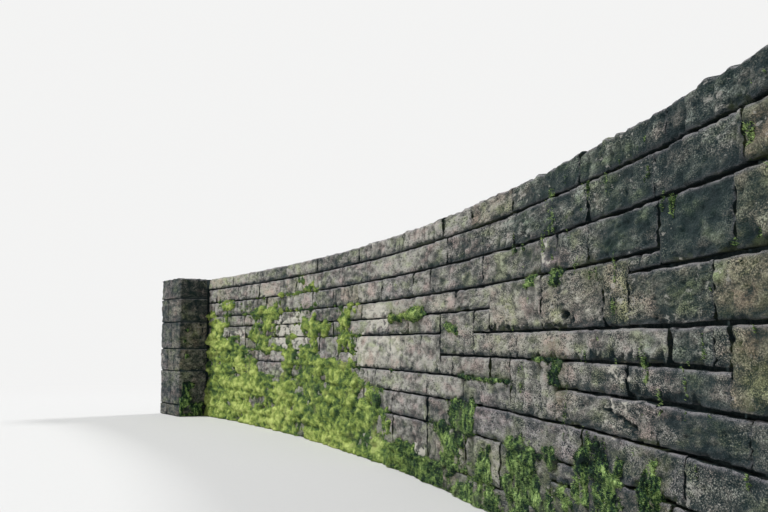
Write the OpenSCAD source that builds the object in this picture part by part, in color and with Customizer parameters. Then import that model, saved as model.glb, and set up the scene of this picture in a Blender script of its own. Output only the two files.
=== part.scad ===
// Garden wall of coursed, rough-faced stone blocks, curved in plan, with a pier at one end.
// It stands on a level base. The hollow side of the curve is the front and looks along -Y,
// +X runs along the wall to its free end, and the origin is at the middle of the base.
// Runs along the wall are measured on the front face, from the free end towards the pier.

/* [Plan] */
// Radius of the hollow front face
face_radius = 15600; // [9000:100:30000]
// Length of one bay along the front face
bay_length = 1150; // [900:10:1500]
// Number of bays
bay_count = 6; // [2:1:6]
// Thickness of the wall from face to face
wall_thickness = 350; // [280:5:500]

/* [Courses] */
// Height of the base course
base_course_height = 83; // [60:1:140]
// Heights of the two lower courses, from the bottom up
lower_course_heights = [144, 99]; // [60:1:180]
// Heights of the three middle courses, from the bottom up
middle_course_heights = [88, 73, 78]; // [60:1:180]
// Heights of the two upper courses, from the bottom up
upper_course_heights = [152, 100]; // [60:1:180]
// Heights of the two top courses, from the bottom up
top_course_heights = [99, 86]; // [60:1:180]

/* [Stones] */
// Length of the shortest stone
shortest_stone = 190; // [150:5:260]
// Length of the longest stone
longest_stone = 560; // [400:5:700]
// Length of a jumper, the block that stands two courses high
jumper_length = 330; // [220:5:420]
// Length of the long stones that turn the corners at the free end
long_quoin = 330; // [280:5:400]
// Length of the short stones that turn the corners, on the wall and on the pier
short_quoin = 180; // [140:5:220]
// Width of the narrow stones on the free end, which change sides from course to course
narrow_head = 120; // [90:5:150]

/* [Joints] */
// Height of a bed joint
bed_joint_height = 9; // [4:0.5:14]
// Width of an upright joint
upright_joint_width = 7; // [3:0.5:12]
// Depth to which the mortar is raked back
rake_depth = 16; // [8:1:30]
// Width of the worn arris along each bed joint
arris = 5; // [2:0.5:8]

/* [Pier] */
// Width of the pier along the wall
pier_width = 450; // [380:5:600]
// Distance that the pier stands forward of the front face
pier_projection = 220; // [120:5:320]

/* [Hidden] */
LIFTS = ["base_course", "lower_courses", "middle_courses", "upper_courses", "top_courses"];

$fn = 1440;
// Distance by which a cut runs past the surface that it opens.
cut_over = 2;
// Distance by which an upright joint runs into the bed joints above and below it.
lap = bed_joint_height / 4;
// Least distance from an upright joint to the end of a bay or of a jumper.
least_bond = shortest_stone / 3;

// Course heights of each lift, and the level at which each lift starts.
lift_courses = [
    [base_course_height],
    lower_course_heights,
    middle_course_heights,
    upper_course_heights,
    top_course_heights
];
lift_heights = [for (courses = lift_courses) total(courses)];
lift_levels = [for (lift = [0:len(LIFTS)]) total(first(lift_heights, lift))];
wall_height = total(lift_heights);

// Plan: the wall spans equal angles on both sides of the Y axis, about a centre of curvature
// in front of it, and the pier follows at its left end.
back_radius = face_radius + wall_thickness;
wall_run = bay_length * bay_count;
half_angle = arc_angle(wall_run) / 2;
free_end_angle = 90 - half_angle;
pier_angle = 90 + half_angle;

// Outermost corners in plan, seen from the centre of curvature, and the middle between them.
right_edge = back_radius * sin(half_angle);
left_edge = -back_radius * sin(half_angle) - pier_width * cos(half_angle);
front_edge = (face_radius - pier_projection) * cos(half_angle) - pier_width * sin(half_angle);
middle = [(left_edge + right_edge) / 2, (front_edge + back_radius) / 2, 0];

stone_colours = ["#5c5a44", "#66604f", "#6b6457", "#6f675a", "#686256"];

// Sum of a list, and its first entries.
function total(values, i = 0) = i < len(values) ? values[i] + total(values, i + 1) : 0;
function first(values, count) = [for (i = [0:1:count - 1]) values[i]];
function running_total(values) = [for (i = [0:len(values) - 1]) total(first(values, i + 1))];

// Angle, in degrees, that a run along the front face takes.
function arc_angle(run) = run / face_radius * 180 / PI;

// Number of a course, counted over all lifts from the ground.
function course_number(lift, course) =
    total([for (i = [0:1:lift - 1]) len(lift_courses[i])]) + course;

// Level of a bed joint within a lift: 0 is the lift's own base.
function bed_level(lift, course) = lift_levels[lift] + total(first(lift_courses[lift], course));

// Levels of a lift that are bed joints, as the ground and the top of the wall are not.
function is_bed_joint(level) = level > 0 && level < wall_height - bed_joint_height;

// Runs at which the upright joints of one course stand: a quoin first, long and short in turn
// from course to course, and then stones of uneven lengths as far as the pier.
function upright_runs(course, face) =
    let(
        quoin = course % 2 == 0 ? long_quoin : short_quoin,
        most = ceil(wall_run / shortest_stone),
        stones = rands(shortest_stone, longest_stone, most, 2 * course + face)
    )
    [for (run = running_total(concat([quoin], stones))) if (run < wall_run - short_quoin / 2) run];

// Run at which a bay's jumper begins. Its place within the bay differs from lift to lift.
function jumper_run(bay, lift, face) =
    let(
        first_place = long_quoin + least_bond,
        last_place = bay_length - jumper_length - least_bond,
        place = rands(first_place, last_place, 1, 2 * (len(LIFTS) * bay + lift) + face)[0]
    )
    (bay - 1) * bay_length + place;

// Lower course of a lift's jumper: its first course, or in every other bay its second.
function jumper_course(bay, lift) = len(lift_courses[lift]) > 2 ? bay % 2 : 0;

// True where a jumper of the lift stands at this course.
function has_jumper(bay, lift, course) =
    len(lift_courses[lift]) > 1
    && (course == jumper_course(bay, lift) || course == jumper_course(bay, lift) + 1);

// True where a run is clear of the jumper that begins at start.
function clear_of_jumper(run, start) =
    run < start - least_bond || run > start + jumper_length + least_bond;

// Sweep about the centre of curvature, over a stretch of the front face.
module sweep(from_run, to_run)
    rotate_extrude(start = free_end_angle + arc_angle(from_run), angle = arc_angle(to_run - from_run))
        children();

// Outline of a raked joint, cut into the face at radius 0 towards +X, with worn arrises.
module joint_outline(height)
    polygon([
        [-cut_over, -height / 2 - arris],
        [0, -height / 2 - arris],
        [arris, -height / 2],
        [rake_depth, -height / 2],
        [rake_depth, height / 2],
        [arris, height / 2],
        [0, height / 2 + arris],
        [-cut_over, height / 2 + arris]
    ]);

// Places an outline on the front face (0) or, turned about, on the back face (1).
module on_face(face, level)
    translate([face == 0 ? face_radius : back_radius, level])
        mirror([face, 0])
            children();

// Bed joint over a stretch of one face.
module bed_joint(face, level, from_run, to_run)
    sweep(from_run, to_run)
        on_face(face, level)
            joint_outline(bed_joint_height);

// Upright joint of one face, between two levels.
module upright_joint(face, run, from_level, to_level)
    sweep(run - upright_joint_width / 2, run + upright_joint_width / 2)
        on_face(face, from_level)
            translate([-cut_over, -lap])
                square([rake_depth + cut_over, to_level - from_level + 2 * lap]);

// Bed joints of one lift of one bay, broken where the jumper stands.
module bay_bed_joints(bay, lift, face) {
    near = (bay - 1) * bay_length - cut_over;
    far = bay * bay_length + cut_over;
    jumper = jumper_run(bay, lift, face);
    for (course = [0:len(lift_courses[lift])]) {
        level = bed_level(lift, course);
        split = has_jumper(bay, lift, course) && has_jumper(bay, lift, course - 1);
        if (is_bed_joint(level) && split) {
            bed_joint(face, level, near, jumper);
            bed_joint(face, level, jumper + jumper_length, far);
        } else if (is_bed_joint(level)) {
            bed_joint(face, level, near, far);
        }
    }
}

// Upright joints of one lift of one bay, with those at both ends of its jumper.
module bay_upright_joints(bay, lift, face) {
    near = (bay - 1) * bay_length + least_bond;
    far = bay * bay_length - least_bond;
    jumper = jumper_run(bay, lift, face);
    for (course = [0:len(lift_courses[lift]) - 1], run = upright_runs(course_number(lift, course), face)) {
        free = !has_jumper(bay, lift, course) || clear_of_jumper(run, jumper);
        if (run > near && run < far && free)
            upright_joint(face, run, bed_level(lift, course), bed_level(lift, course + 1));
    }
    if (len(lift_courses[lift]) > 1)
        for (run = [jumper, jumper + jumper_length])
            upright_joint(
                face,
                run,
                bed_level(lift, jumper_course(bay, lift)),
                bed_level(lift, jumper_course(bay, lift) + 2)
            );
}

// Joints on the free end of the wall, where the quoins show their heads.
module end_joints(lift)
    for (course = [0:len(lift_courses[lift])]) {
        level = bed_level(lift, course);
        if (is_bed_joint(level))
            sweep(-cut_over, rake_depth)
                translate([face_radius - cut_over, level - bed_joint_height / 2])
                    square([wall_thickness + 2 * cut_over, bed_joint_height]);
        if (course < len(lift_courses[lift])) {
            at_front = course_number(lift, course) % 2 == 0;
            place = at_front ? face_radius + narrow_head : back_radius - narrow_head;
            sweep(-cut_over, rake_depth)
                translate([place - upright_joint_width / 2, level - lap])
                    square([upright_joint_width, lift_courses[lift][course] + 2 * lap]);
        }
    }

// One lift of one bay: a swept block with its joints raked out of both faces.
module bay_lift(bay, lift)
    color(stone_colours[lift])
        difference() {
            sweep((bay - 1) * bay_length, bay * bay_length)
                translate([face_radius, lift_levels[lift]])
                    square([wall_thickness, lift_heights[lift]]);
            for (face = [0, 1]) {
                bay_bed_joints(bay, lift, face);
                bay_upright_joints(bay, lift, face);
            }
            if (bay == 1)
                end_joints(lift);
        }

// Bed joint round the pier, less the stretch where the wall runs into it.
module pier_bed_joint(level) {
    depth = wall_thickness + pier_projection;
    translate([-pier_projection, 0, level - bed_joint_height / 2]) {
        translate([-cut_over, -cut_over, 0])
            cube([rake_depth + cut_over, pier_width + 2 * cut_over, bed_joint_height]);
        translate([depth - rake_depth, 0, 0])
            cube([rake_depth + cut_over, pier_width + cut_over, bed_joint_height]);
        translate([0, pier_width - rake_depth, 0])
            cube([depth, rake_depth + cut_over, bed_joint_height]);
        translate([0, -cut_over, 0])
            cube([pier_projection, rake_depth + cut_over, bed_joint_height]);
    }
}

// Upright joints of one pier course: a short quoin at alternate corners.
module pier_upright_joints(course, level, height) {
    even = course % 2 == 0;
    across = even ? pier_width - short_quoin : short_quoin;
    along = even ? short_quoin - pier_projection : wall_thickness - short_quoin;
    for (x = [-pier_projection - cut_over, wall_thickness - rake_depth])
        translate([x, across - upright_joint_width / 2, level - lap])
            cube([rake_depth + cut_over, upright_joint_width, height + 2 * lap]);
    translate([along - upright_joint_width / 2, pier_width - rake_depth, level - lap])
        cube([upright_joint_width, rake_depth + cut_over, height + 2 * lap]);
}

// One lift of the pier, a square block of quoins whose beds line up with the wall's.
module pier_lift(lift)
    color(stone_colours[lift])
        rotate([0, 0, pier_angle])
            translate([face_radius, 0, 0])
                difference() {
                    translate([-pier_projection, 0, lift_levels[lift]])
                        cube([wall_thickness + pier_projection, pier_width, lift_heights[lift]]);
                    for (course = [0:len(lift_courses[lift])])
                        if (is_bed_joint(bed_level(lift, course)))
                            pier_bed_joint(bed_level(lift, course));
                    for (course = [0:len(lift_courses[lift]) - 1])
                        pier_upright_joints(
                            course_number(lift, course),
                            bed_level(lift, course),
                            lift_courses[lift][course]
                        );
                }

translate(-middle) {
    for (bay = [1:bay_count], lift = [0:len(LIFTS) - 1])
        bay_lift(bay, lift);
    for (lift = [0:len(LIFTS) - 1])
        pier_lift(lift);
}
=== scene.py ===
"""Looks of a curved garden wall of coursed, rough-faced stones, with a pier at its far end.

Every stone, the raked mortar behind the stones and the moss are built here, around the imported
solids of the wall. Runs are measured along the front face, from the free end towards the pier,
levels from the ground up, and depths from a face into the masonry. Sizes are in metres.
"""

import itertools
import logging
import math
from collections.abc import Callable, Iterable, Sequence
from dataclasses import dataclass, field
from enum import Enum
from typing import Any, Union

import bpy
import numpy as np
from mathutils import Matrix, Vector

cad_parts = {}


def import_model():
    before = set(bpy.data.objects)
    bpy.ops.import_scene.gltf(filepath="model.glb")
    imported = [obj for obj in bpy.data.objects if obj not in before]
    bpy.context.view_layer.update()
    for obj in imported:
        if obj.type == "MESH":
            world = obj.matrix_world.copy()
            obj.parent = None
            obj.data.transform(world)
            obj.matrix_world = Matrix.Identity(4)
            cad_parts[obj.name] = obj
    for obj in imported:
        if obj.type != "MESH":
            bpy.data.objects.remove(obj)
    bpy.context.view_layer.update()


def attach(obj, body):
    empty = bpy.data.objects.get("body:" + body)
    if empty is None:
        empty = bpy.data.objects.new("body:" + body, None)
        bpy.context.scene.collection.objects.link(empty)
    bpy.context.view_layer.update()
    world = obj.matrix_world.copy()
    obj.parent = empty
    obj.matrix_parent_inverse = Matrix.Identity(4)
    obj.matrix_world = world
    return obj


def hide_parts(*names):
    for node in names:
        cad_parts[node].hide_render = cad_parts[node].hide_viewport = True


LOG = logging.getLogger("garden_wall")
Array = np.ndarray
Colour = tuple[float, float, float]


class Side(Enum):
    """Sides of a stone, seen on the face that it is laid to."""

    NEAR = 0
    FAR = 1
    LOW = 2
    HIGH = 3

    @property
    def upright(self) -> bool:
        """True for the two sides that stand."""
        return self in (Side.NEAR, Side.FAR)

    @property
    def inward(self) -> int:
        """Direction, along the face or up it, that leads into the stone."""
        return 1 if self in (Side.NEAR, Side.LOW) else -1


class Face(Enum):
    """Faces of the masonry that a stone can be laid to."""

    FRONT = "front"
    BACK = "back"
    PIER_NEAR = "pier near side"
    PIER_FAR = "pier far side"
    PIER_BACK = "pier back"


class Tooling(Enum):
    """Marks that the mason left on a stone."""

    HAMMERED = "hammered"
    FURROWED = "furrowed"
    COMBED = "combed"


class Damage(Enum):
    """Kinds of damage to the face of a stone."""

    PIT = "pit"
    CRACK = "crack"
    SPALL = "spall along the lower arris"


@dataclass(frozen=True)
class Flaw:
    """One piece of damage, from one point of the front face to another."""

    kind: Damage
    near: float
    low: float
    far: float
    high: float
    width: float = 0.010
    depth: float = 0.008


@dataclass(frozen=True)
class Wear:
    """Rounding of an arris: how wide it is, and how far it drops."""

    width: float
    drop: float


@dataclass(frozen=True)
class WallPlan:
    """Driving sizes of the wall, and the way from the masonry to the frame."""

    face_radius: float = 15.6
    thickness: float = 0.35
    bay_length: float = 1.15
    bay_count: int = 6
    pier_width: float = 0.45
    pier_projection: float = 0.22
    levels: tuple[float, ...] = (0.0, 0.083, 0.227, 0.326, 0.414, 0.487, 0.565, 0.717, 0.817, 0.916, 1.002)
    lifts: tuple[tuple[str, float], ...] = (
        ("base_course", 0.083),
        ("lower_courses", 0.326),
        ("middle_courses", 0.565),
        ("upper_courses", 0.817),
        ("top_courses", 1.002),
    )

    @property
    def run_total(self) -> float:
        """Length of all bays along the front face."""
        return self.bay_length * self.bay_count

    @property
    def height(self) -> float:
        """Height of the wall."""
        return self.levels[-1]

    @property
    def half_angle(self) -> float:
        """Half of the angle that the bays span, in radians."""
        return self.run_total / self.face_radius / 2

    @property
    def centre(self) -> tuple[float, float]:
        """Centre of curvature in the frame, whose origin is the middle of the base.

        Returns:
            Its place on plan.
        """
        sine, cosine = math.sin(self.half_angle), math.cos(self.half_angle)
        back = self.face_radius + self.thickness
        front = (self.face_radius - self.pier_projection) * cosine - self.pier_width * sine
        return self.pier_width * cosine / 2, -(front + back) / 2

    def lift_of(self, level: float) -> str:
        """Name of the lift that holds a level."""
        return next(name for name, top in self.lifts if level < top)

    def bay_of(self, run: float) -> int:
        """Number of the bay that holds a run."""
        return min(self.bay_count, int(run / self.bay_length) + 1)

    def on_wall(self, run: Array, level: Array, depth: Array) -> Array:
        """Places points of the curved wall.

        Args:
            run: Runs along the front face.
            level: Levels above the ground.
            depth: Depths behind the front face.

        Returns:
            Points in the frame, one row each.
        """
        angle = math.pi / 2 - self.half_angle + run / self.face_radius
        radius = self.face_radius + depth
        x, y = self.centre
        return np.stack([x + radius * np.cos(angle), y + radius * np.sin(angle), level], axis=-1)

    def on_pier(self, across: Array, along: Array, level: Array) -> Array:
        """Places points of the pier.

        Args:
            across: Distances behind the line of the wall's front face.
            along: Distances from the pier's near side.
            level: Levels above the ground.

        Returns:
            Points in the frame, one row each.
        """
        angle = math.pi / 2 + self.half_angle
        sine, cosine = math.sin(angle), math.cos(angle)
        outward = self.face_radius + across
        x, y = self.centre
        at_x = x + outward * cosine - along * sine
        at_y = y + outward * sine + along * cosine
        return np.stack([at_x, at_y, level], axis=-1)

    def place(self, face: Face, run: Array, level: Array, depth: Array) -> Array:
        """Places points that are measured on one of the faces.

        Args:
            face: Face that the runs and depths refer to.
            run: Runs along the face.
            level: Levels above the ground.
            depth: Depths behind the face.

        Returns:
            Points in the frame, one row each.
        """
        if face is Face.FRONT:
            return self.on_wall(run, level, depth)
        if face is Face.BACK:
            return self.on_wall(run, level, self.thickness - depth)
        if face is Face.PIER_NEAR:
            return self.on_pier(run, depth, level)
        if face is Face.PIER_FAR:
            return self.on_pier(run, self.pier_width - depth, level)
        return self.on_pier(self.thickness - depth, run, level)


class Grain:
    """Seeded noise in space, worked out for whole arrays of points."""

    PRIMES = (0x9E3779B1, 0x85EBCA77, 0xC2B2AE3D)

    def __init__(self, seed: int) -> None:
        """Keeps the seed."""
        self.seed = np.uint32(seed)

    def _scatter(self, cells: Array, salt: int = 0) -> Array:
        """Gives each whole-numbered cell its own number.

        Args:
            cells: Cells, with three whole numbers in each row.
            salt: Picks another set of numbers.

        Returns:
            Numbers from 0 to 1.
        """
        whole = cells.astype(np.int64).astype(np.uint32)
        mixed = self.seed + np.uint32(salt * 7919)
        for axis, prime in enumerate(self.PRIMES):
            mixed = (mixed ^ whole[..., axis]) * np.uint32(prime)
            mixed = mixed ^ (mixed >> np.uint32(15))
        mixed = mixed * np.uint32(0x2C1B3C6D)
        mixed = mixed ^ (mixed >> np.uint32(13))
        return mixed / np.float64(2**32)

    def smooth(self, points: Array, size: float) -> Array:
        """Soft noise from -1 to 1, with lumps of the given size.

        Args:
            points: Points, one row each.
            size: Distance between neighbouring lumps.

        Returns:
            One number for each point.
        """
        scaled = points / size
        base = np.floor(scaled)
        part = scaled - base
        part = part * part * (3 - 2 * part)
        total = np.zeros(len(points))
        for corner in itertools.product((0, 1), repeat=3):
            share = np.prod(np.where(corner, part, 1 - part), axis=-1)
            total += share * self._scatter(base + np.array(corner))
        return total * 2 - 1

    def fractal(self, points: Array, size: float, octaves: int) -> Array:
        """Noise of several sizes, each half of the last.

        Args:
            points: Points, one row each.
            size: Distance between the largest lumps.
            octaves: Number of sizes.

        Returns:
            Numbers from about -1 to 1, one for each point.
        """
        total = np.zeros(len(points))
        for octave in range(octaves):
            total += self.smooth(points + octave * 17.3, size / 2**octave) / 2**octave
        return total

    def facets(self, points: Array, size: float) -> tuple[Array, Array, Array]:
        """Splits space into uneven cells, each with a slope of its own.

        Args:
            points: Points, one row each.
            size: Mean width of a cell.

        Returns:
            Distance to the middle of the cell in cell widths, the height of the cell's sloping
            plane, and a number from 0 to 1 that is the same all over the cell.
        """
        scaled = points / size
        base = np.floor(scaled)
        nearest = np.full(len(points), np.inf)
        plane = np.zeros(len(points))
        mark = np.zeros(len(points))
        for step in itertools.product((-1, 0, 1), repeat=3):
            cell = base + np.array(step)
            middle = cell + np.stack([self._scatter(cell, salt) for salt in (1, 2, 3)], axis=-1)
            slope = np.stack([self._scatter(cell, salt) for salt in (4, 5, 6)], axis=-1) * 2 - 1
            offset = scaled - middle
            distance = np.linalg.norm(offset, axis=-1)
            closer = distance < nearest
            nearest = np.where(closer, distance, nearest)
            plane = np.where(closer, np.sum(offset * slope, axis=-1), plane)
            mark = np.where(closer, self._scatter(cell, 7), mark)
        return nearest, plane, mark


def ramp(values: Array, start: float, end: float) -> Array:
    """Rises smoothly from 0 at the start to 1 at the end."""
    part = np.clip((values - start) / (end - start), 0, 1)
    return part * part * (3 - 2 * part)


def spots_of(run: Array, level: Array, along: float, up: float = 1.0) -> Array:
    """Points where noise is read for a face, with runs and levels multiplied by a factor each."""
    return np.stack([run * along, level * up, np.zeros_like(run)], axis=-1)


@dataclass
class Shell:
    """Closed surface: points, faces with four corners, faces with more, and traits by point."""

    points: Array
    quads: Array
    caps: list[list[int]]
    traits: dict[str, Array]

    def turned_out(self) -> "Shell":
        """Turns all faces over if they look inwards.

        Returns:
            The shell itself.
        """
        a, b, c, d = (self.points[self.quads[:, i]] for i in range(4))
        volume = np.sum(a * np.cross(b, c)) + np.sum(a * np.cross(c, d))
        for cap in self.caps:
            fan = self.points[cap]
            volume += np.sum(fan[0] * np.cross(fan[1:-1], fan[2:]))
        if volume < 0:
            self.quads = self.quads[:, ::-1]
            self.caps = [cap[::-1] for cap in self.caps]
        return self


def joined(name: str, shells: Sequence[Shell], material: bpy.types.Material) -> bpy.types.Object:
    """Makes one object of several shells.

    Args:
        name: Name of the object.
        shells: Closed surfaces, all with the same traits.
        material: Finish of the object.

    Returns:
        The object, linked to the scene.
    """
    starts = np.cumsum([0] + [len(shell.points) for shell in shells])
    points = np.concatenate([shell.points for shell in shells])
    faces: list[list[int]] = []
    for start, shell in zip(starts, shells):
        faces += (shell.quads + start).tolist()
        faces += [[corner + int(start) for corner in cap] for cap in shell.caps]
    mesh = bpy.data.meshes.new(name)
    mesh.from_pydata(points.tolist(), [], faces)
    for trait in shells[0].traits:
        values = np.concatenate([shell.traits[trait] for shell in shells])
        mesh.attributes.new(trait, "FLOAT", "POINT").data.foreach_set("value", values.astype(np.float32))
    mesh.shade_smooth()
    mesh.materials.append(material)
    made = bpy.data.objects.new(name, mesh)
    bpy.context.scene.collection.objects.link(made)
    return made


@dataclass(frozen=True)
class Block:
    """One squared stone, laid to a face of the masonry."""

    face: Face
    near: float
    far: float
    low: float
    high: float
    depth: float
    bare: frozenset[Side] = frozenset()
    spacing: float = 0.012
    tone: float = 0.0
    warmth: float = 0.0
    tooling: Tooling = Tooling.HAMMERED
    open_bed: float = 0.0
    flaws: tuple[Flaw, ...] = ()

    @property
    def length(self) -> float:
        """Length along the face, from joint to joint."""
        return self.far - self.near

    @property
    def rise(self) -> float:
        """Height from joint to joint."""
        return self.high - self.low

    @property
    def middle(self) -> tuple[float, float]:
        """Run and level of the middle of the face."""
        return (self.near + self.far) / 2, (self.low + self.high) / 2

    @property
    def seed(self) -> int:
        """Number that settles all that is random about the stone."""
        order = list(Face).index(self.face)
        return int(abs(self.near) * 1e4) * 97 + int(self.low * 1e4) * 31 + order


@dataclass(frozen=True)
class Growth:
    """One patch on a face: the stretch that it covers, how thickly, and how soft its edge is."""

    near: float
    far: float
    low: float
    high: float
    cover: float
    soft: float = 0.1


@dataclass(frozen=True)
class Spread:
    """Patches with ragged edges."""

    patches: tuple[Growth, ...]
    lump: float = 0.055
    drift_along: float = 1.4
    drift_up: float = 1.1
    grain: Grain = field(default_factory=lambda: Grain(52))

    @classmethod
    def of(cls, *rows: tuple[float, ...]) -> "Spread":
        """Makes patches of rows of numbers, which are the fields of Growth in their order."""
        return cls(tuple(Growth(*row) for row in rows))

    def share(self, run: Array, level: Array, blur: float = 0.0) -> Array:
        """How much of the face the patches cover.

        Args:
            run: Runs along the face.
            level: Levels above the ground.
            blur: Distance by which each patch thins out beyond its edges.

        Returns:
            Numbers from 0 to 1, one for each point.
        """
        spots = spots_of(run, level, 0.5)
        drift_run = self.grain.fractal(spots, self.lump, 3)
        drift_level = self.grain.fractal(spots + 31.0, self.lump, 3)
        most = np.zeros(len(run))
        for patch in self.patches:
            edge = patch.soft + blur
            lift = min(patch.soft, (patch.high - patch.low) / 2)
            here = run + drift_run * patch.soft * self.drift_along
            height = level + drift_level * lift * self.drift_up
            across = ramp(here, patch.near - edge, patch.near + patch.soft)
            across = across * (1 - ramp(here, patch.far - patch.soft, patch.far + edge))
            up = ramp(height, patch.low - lift - blur, patch.low + lift)
            up = up * (1 - ramp(height, patch.high - lift, patch.high + lift + blur))
            most = np.maximum(most, patch.cover * across * up)
        return most


@dataclass(frozen=True)
class MossMap:
    """Where moss grows on a face, and how thick it is."""

    growths: Spread
    clearings: Spread = Spread(())
    beds: tuple[float, ...] = WallPlan().levels
    thickest: float = 0.019
    swelling: float = 0.60
    swelling_from: tuple[float, float] = (2.2, 3.4)
    spreading_from: tuple[float, float] = (1.9, 2.6)
    closing: float = 1.7
    ledge_width: float = 0.012
    ledge_gain: float = 0.30
    valley_below: float = 0.012
    valley_width: float = 0.008
    valley_loss: float = 0.35
    mean_swell: float = 0.66
    least_swell: float = 0.06
    grain: Grain = field(default_factory=lambda: Grain(411))

    def cover(self, run: Array, level: Array, blur: float = 0.0) -> Array:
        """How much of the face moss covers.

        Args:
            run: Runs along the face.
            level: Levels above the ground.
            blur: Distance by which each patch thins out beyond its edges.

        Returns:
            Numbers from 0 for bare stone to 1 for a closed mat.
        """
        return self.growths.share(run, level, blur) * (1 - self.clearings.share(run, level))

    def thickness(self, run: Array, level: Array) -> Array:
        """Thickness of the moss, which is negative where the stone stays bare.

        Args:
            run: Runs along the face.
            level: Levels above the ground.

        Returns:
            Distances out from the face.
        """
        covered = self.cover(run, level)
        ragged = 0.75 + covered * (0.60 - 0.35 * ramp(run, *self.swelling_from))
        ledge = self._by_beds(level, 0.0, self.ledge_width)
        closeness = covered * self.closing - 1.0 + self._gaps(run, level) * ragged
        closeness = closeness + ledge * self.ledge_gain * (covered > 0.1)
        body = np.clip(closeness, -1, 1)
        most = self.thickest * (1 + self.swelling * ramp(run, *self.swelling_from))
        valley = self._by_beds(level, self.valley_below, self.valley_width)
        swell = self.mean_swell + self._lumps(run, level) - self.valley_loss * valley
        swell = np.clip(swell, self.least_swell, None)
        return most * np.where(body > 0, np.abs(body) ** 0.5 * swell, body * 1.2)

    def _gaps(self, run: Array, level: Array) -> Array:
        """Noise that opens the moss: hanging streaks near the free end, long mats farther along.

        Args:
            run: Runs along the face.
            level: Levels above the ground.

        Returns:
            Numbers from about -1 to 1, one for each point.
        """
        spreading = ramp(run, *self.spreading_from)
        gaps = self.grain.fractal(spots_of(run, level, 0.42), 0.080, 4) * 0.75 * spreading
        gaps += self.grain.fractal(spots_of(run, level, 0.95, 0.40) + 17, 0.040, 4) * 0.85 * (1 - spreading)
        gaps += self.grain.fractal(spots_of(run, level, 0.70) + 7, 0.026, 3) * 0.42
        return gaps

    def _lumps(self, run: Array, level: Array) -> Array:
        """Cushions of three sizes.

        Args:
            run: Runs along the face.
            level: Levels above the ground.

        Returns:
            Numbers from about -1 to 1, one for each point.
        """
        spots = spots_of(run, level, 0.70)
        lumps = self.grain.smooth(spots + 5, 0.062) * 0.44 + self.grain.smooth(spots + 9, 0.026) * 0.40
        return lumps + self.grain.smooth(spots + 13, 0.012) * 0.22

    def _by_beds(self, level: Array, below: float, width: float) -> Array:
        """How close points are to a bed joint, or to a line below each.

        Args:
            level: Levels above the ground.
            below: Distance of the line below the joint.
            width: Distance over which the result falls off.

        Returns:
            Numbers from 0 to 1, one for each point.
        """
        most = np.zeros(len(level))
        for bed in self.beds:
            most = np.maximum(most, np.exp(-(((level - bed + below) / width) ** 2)))
        return most


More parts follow.
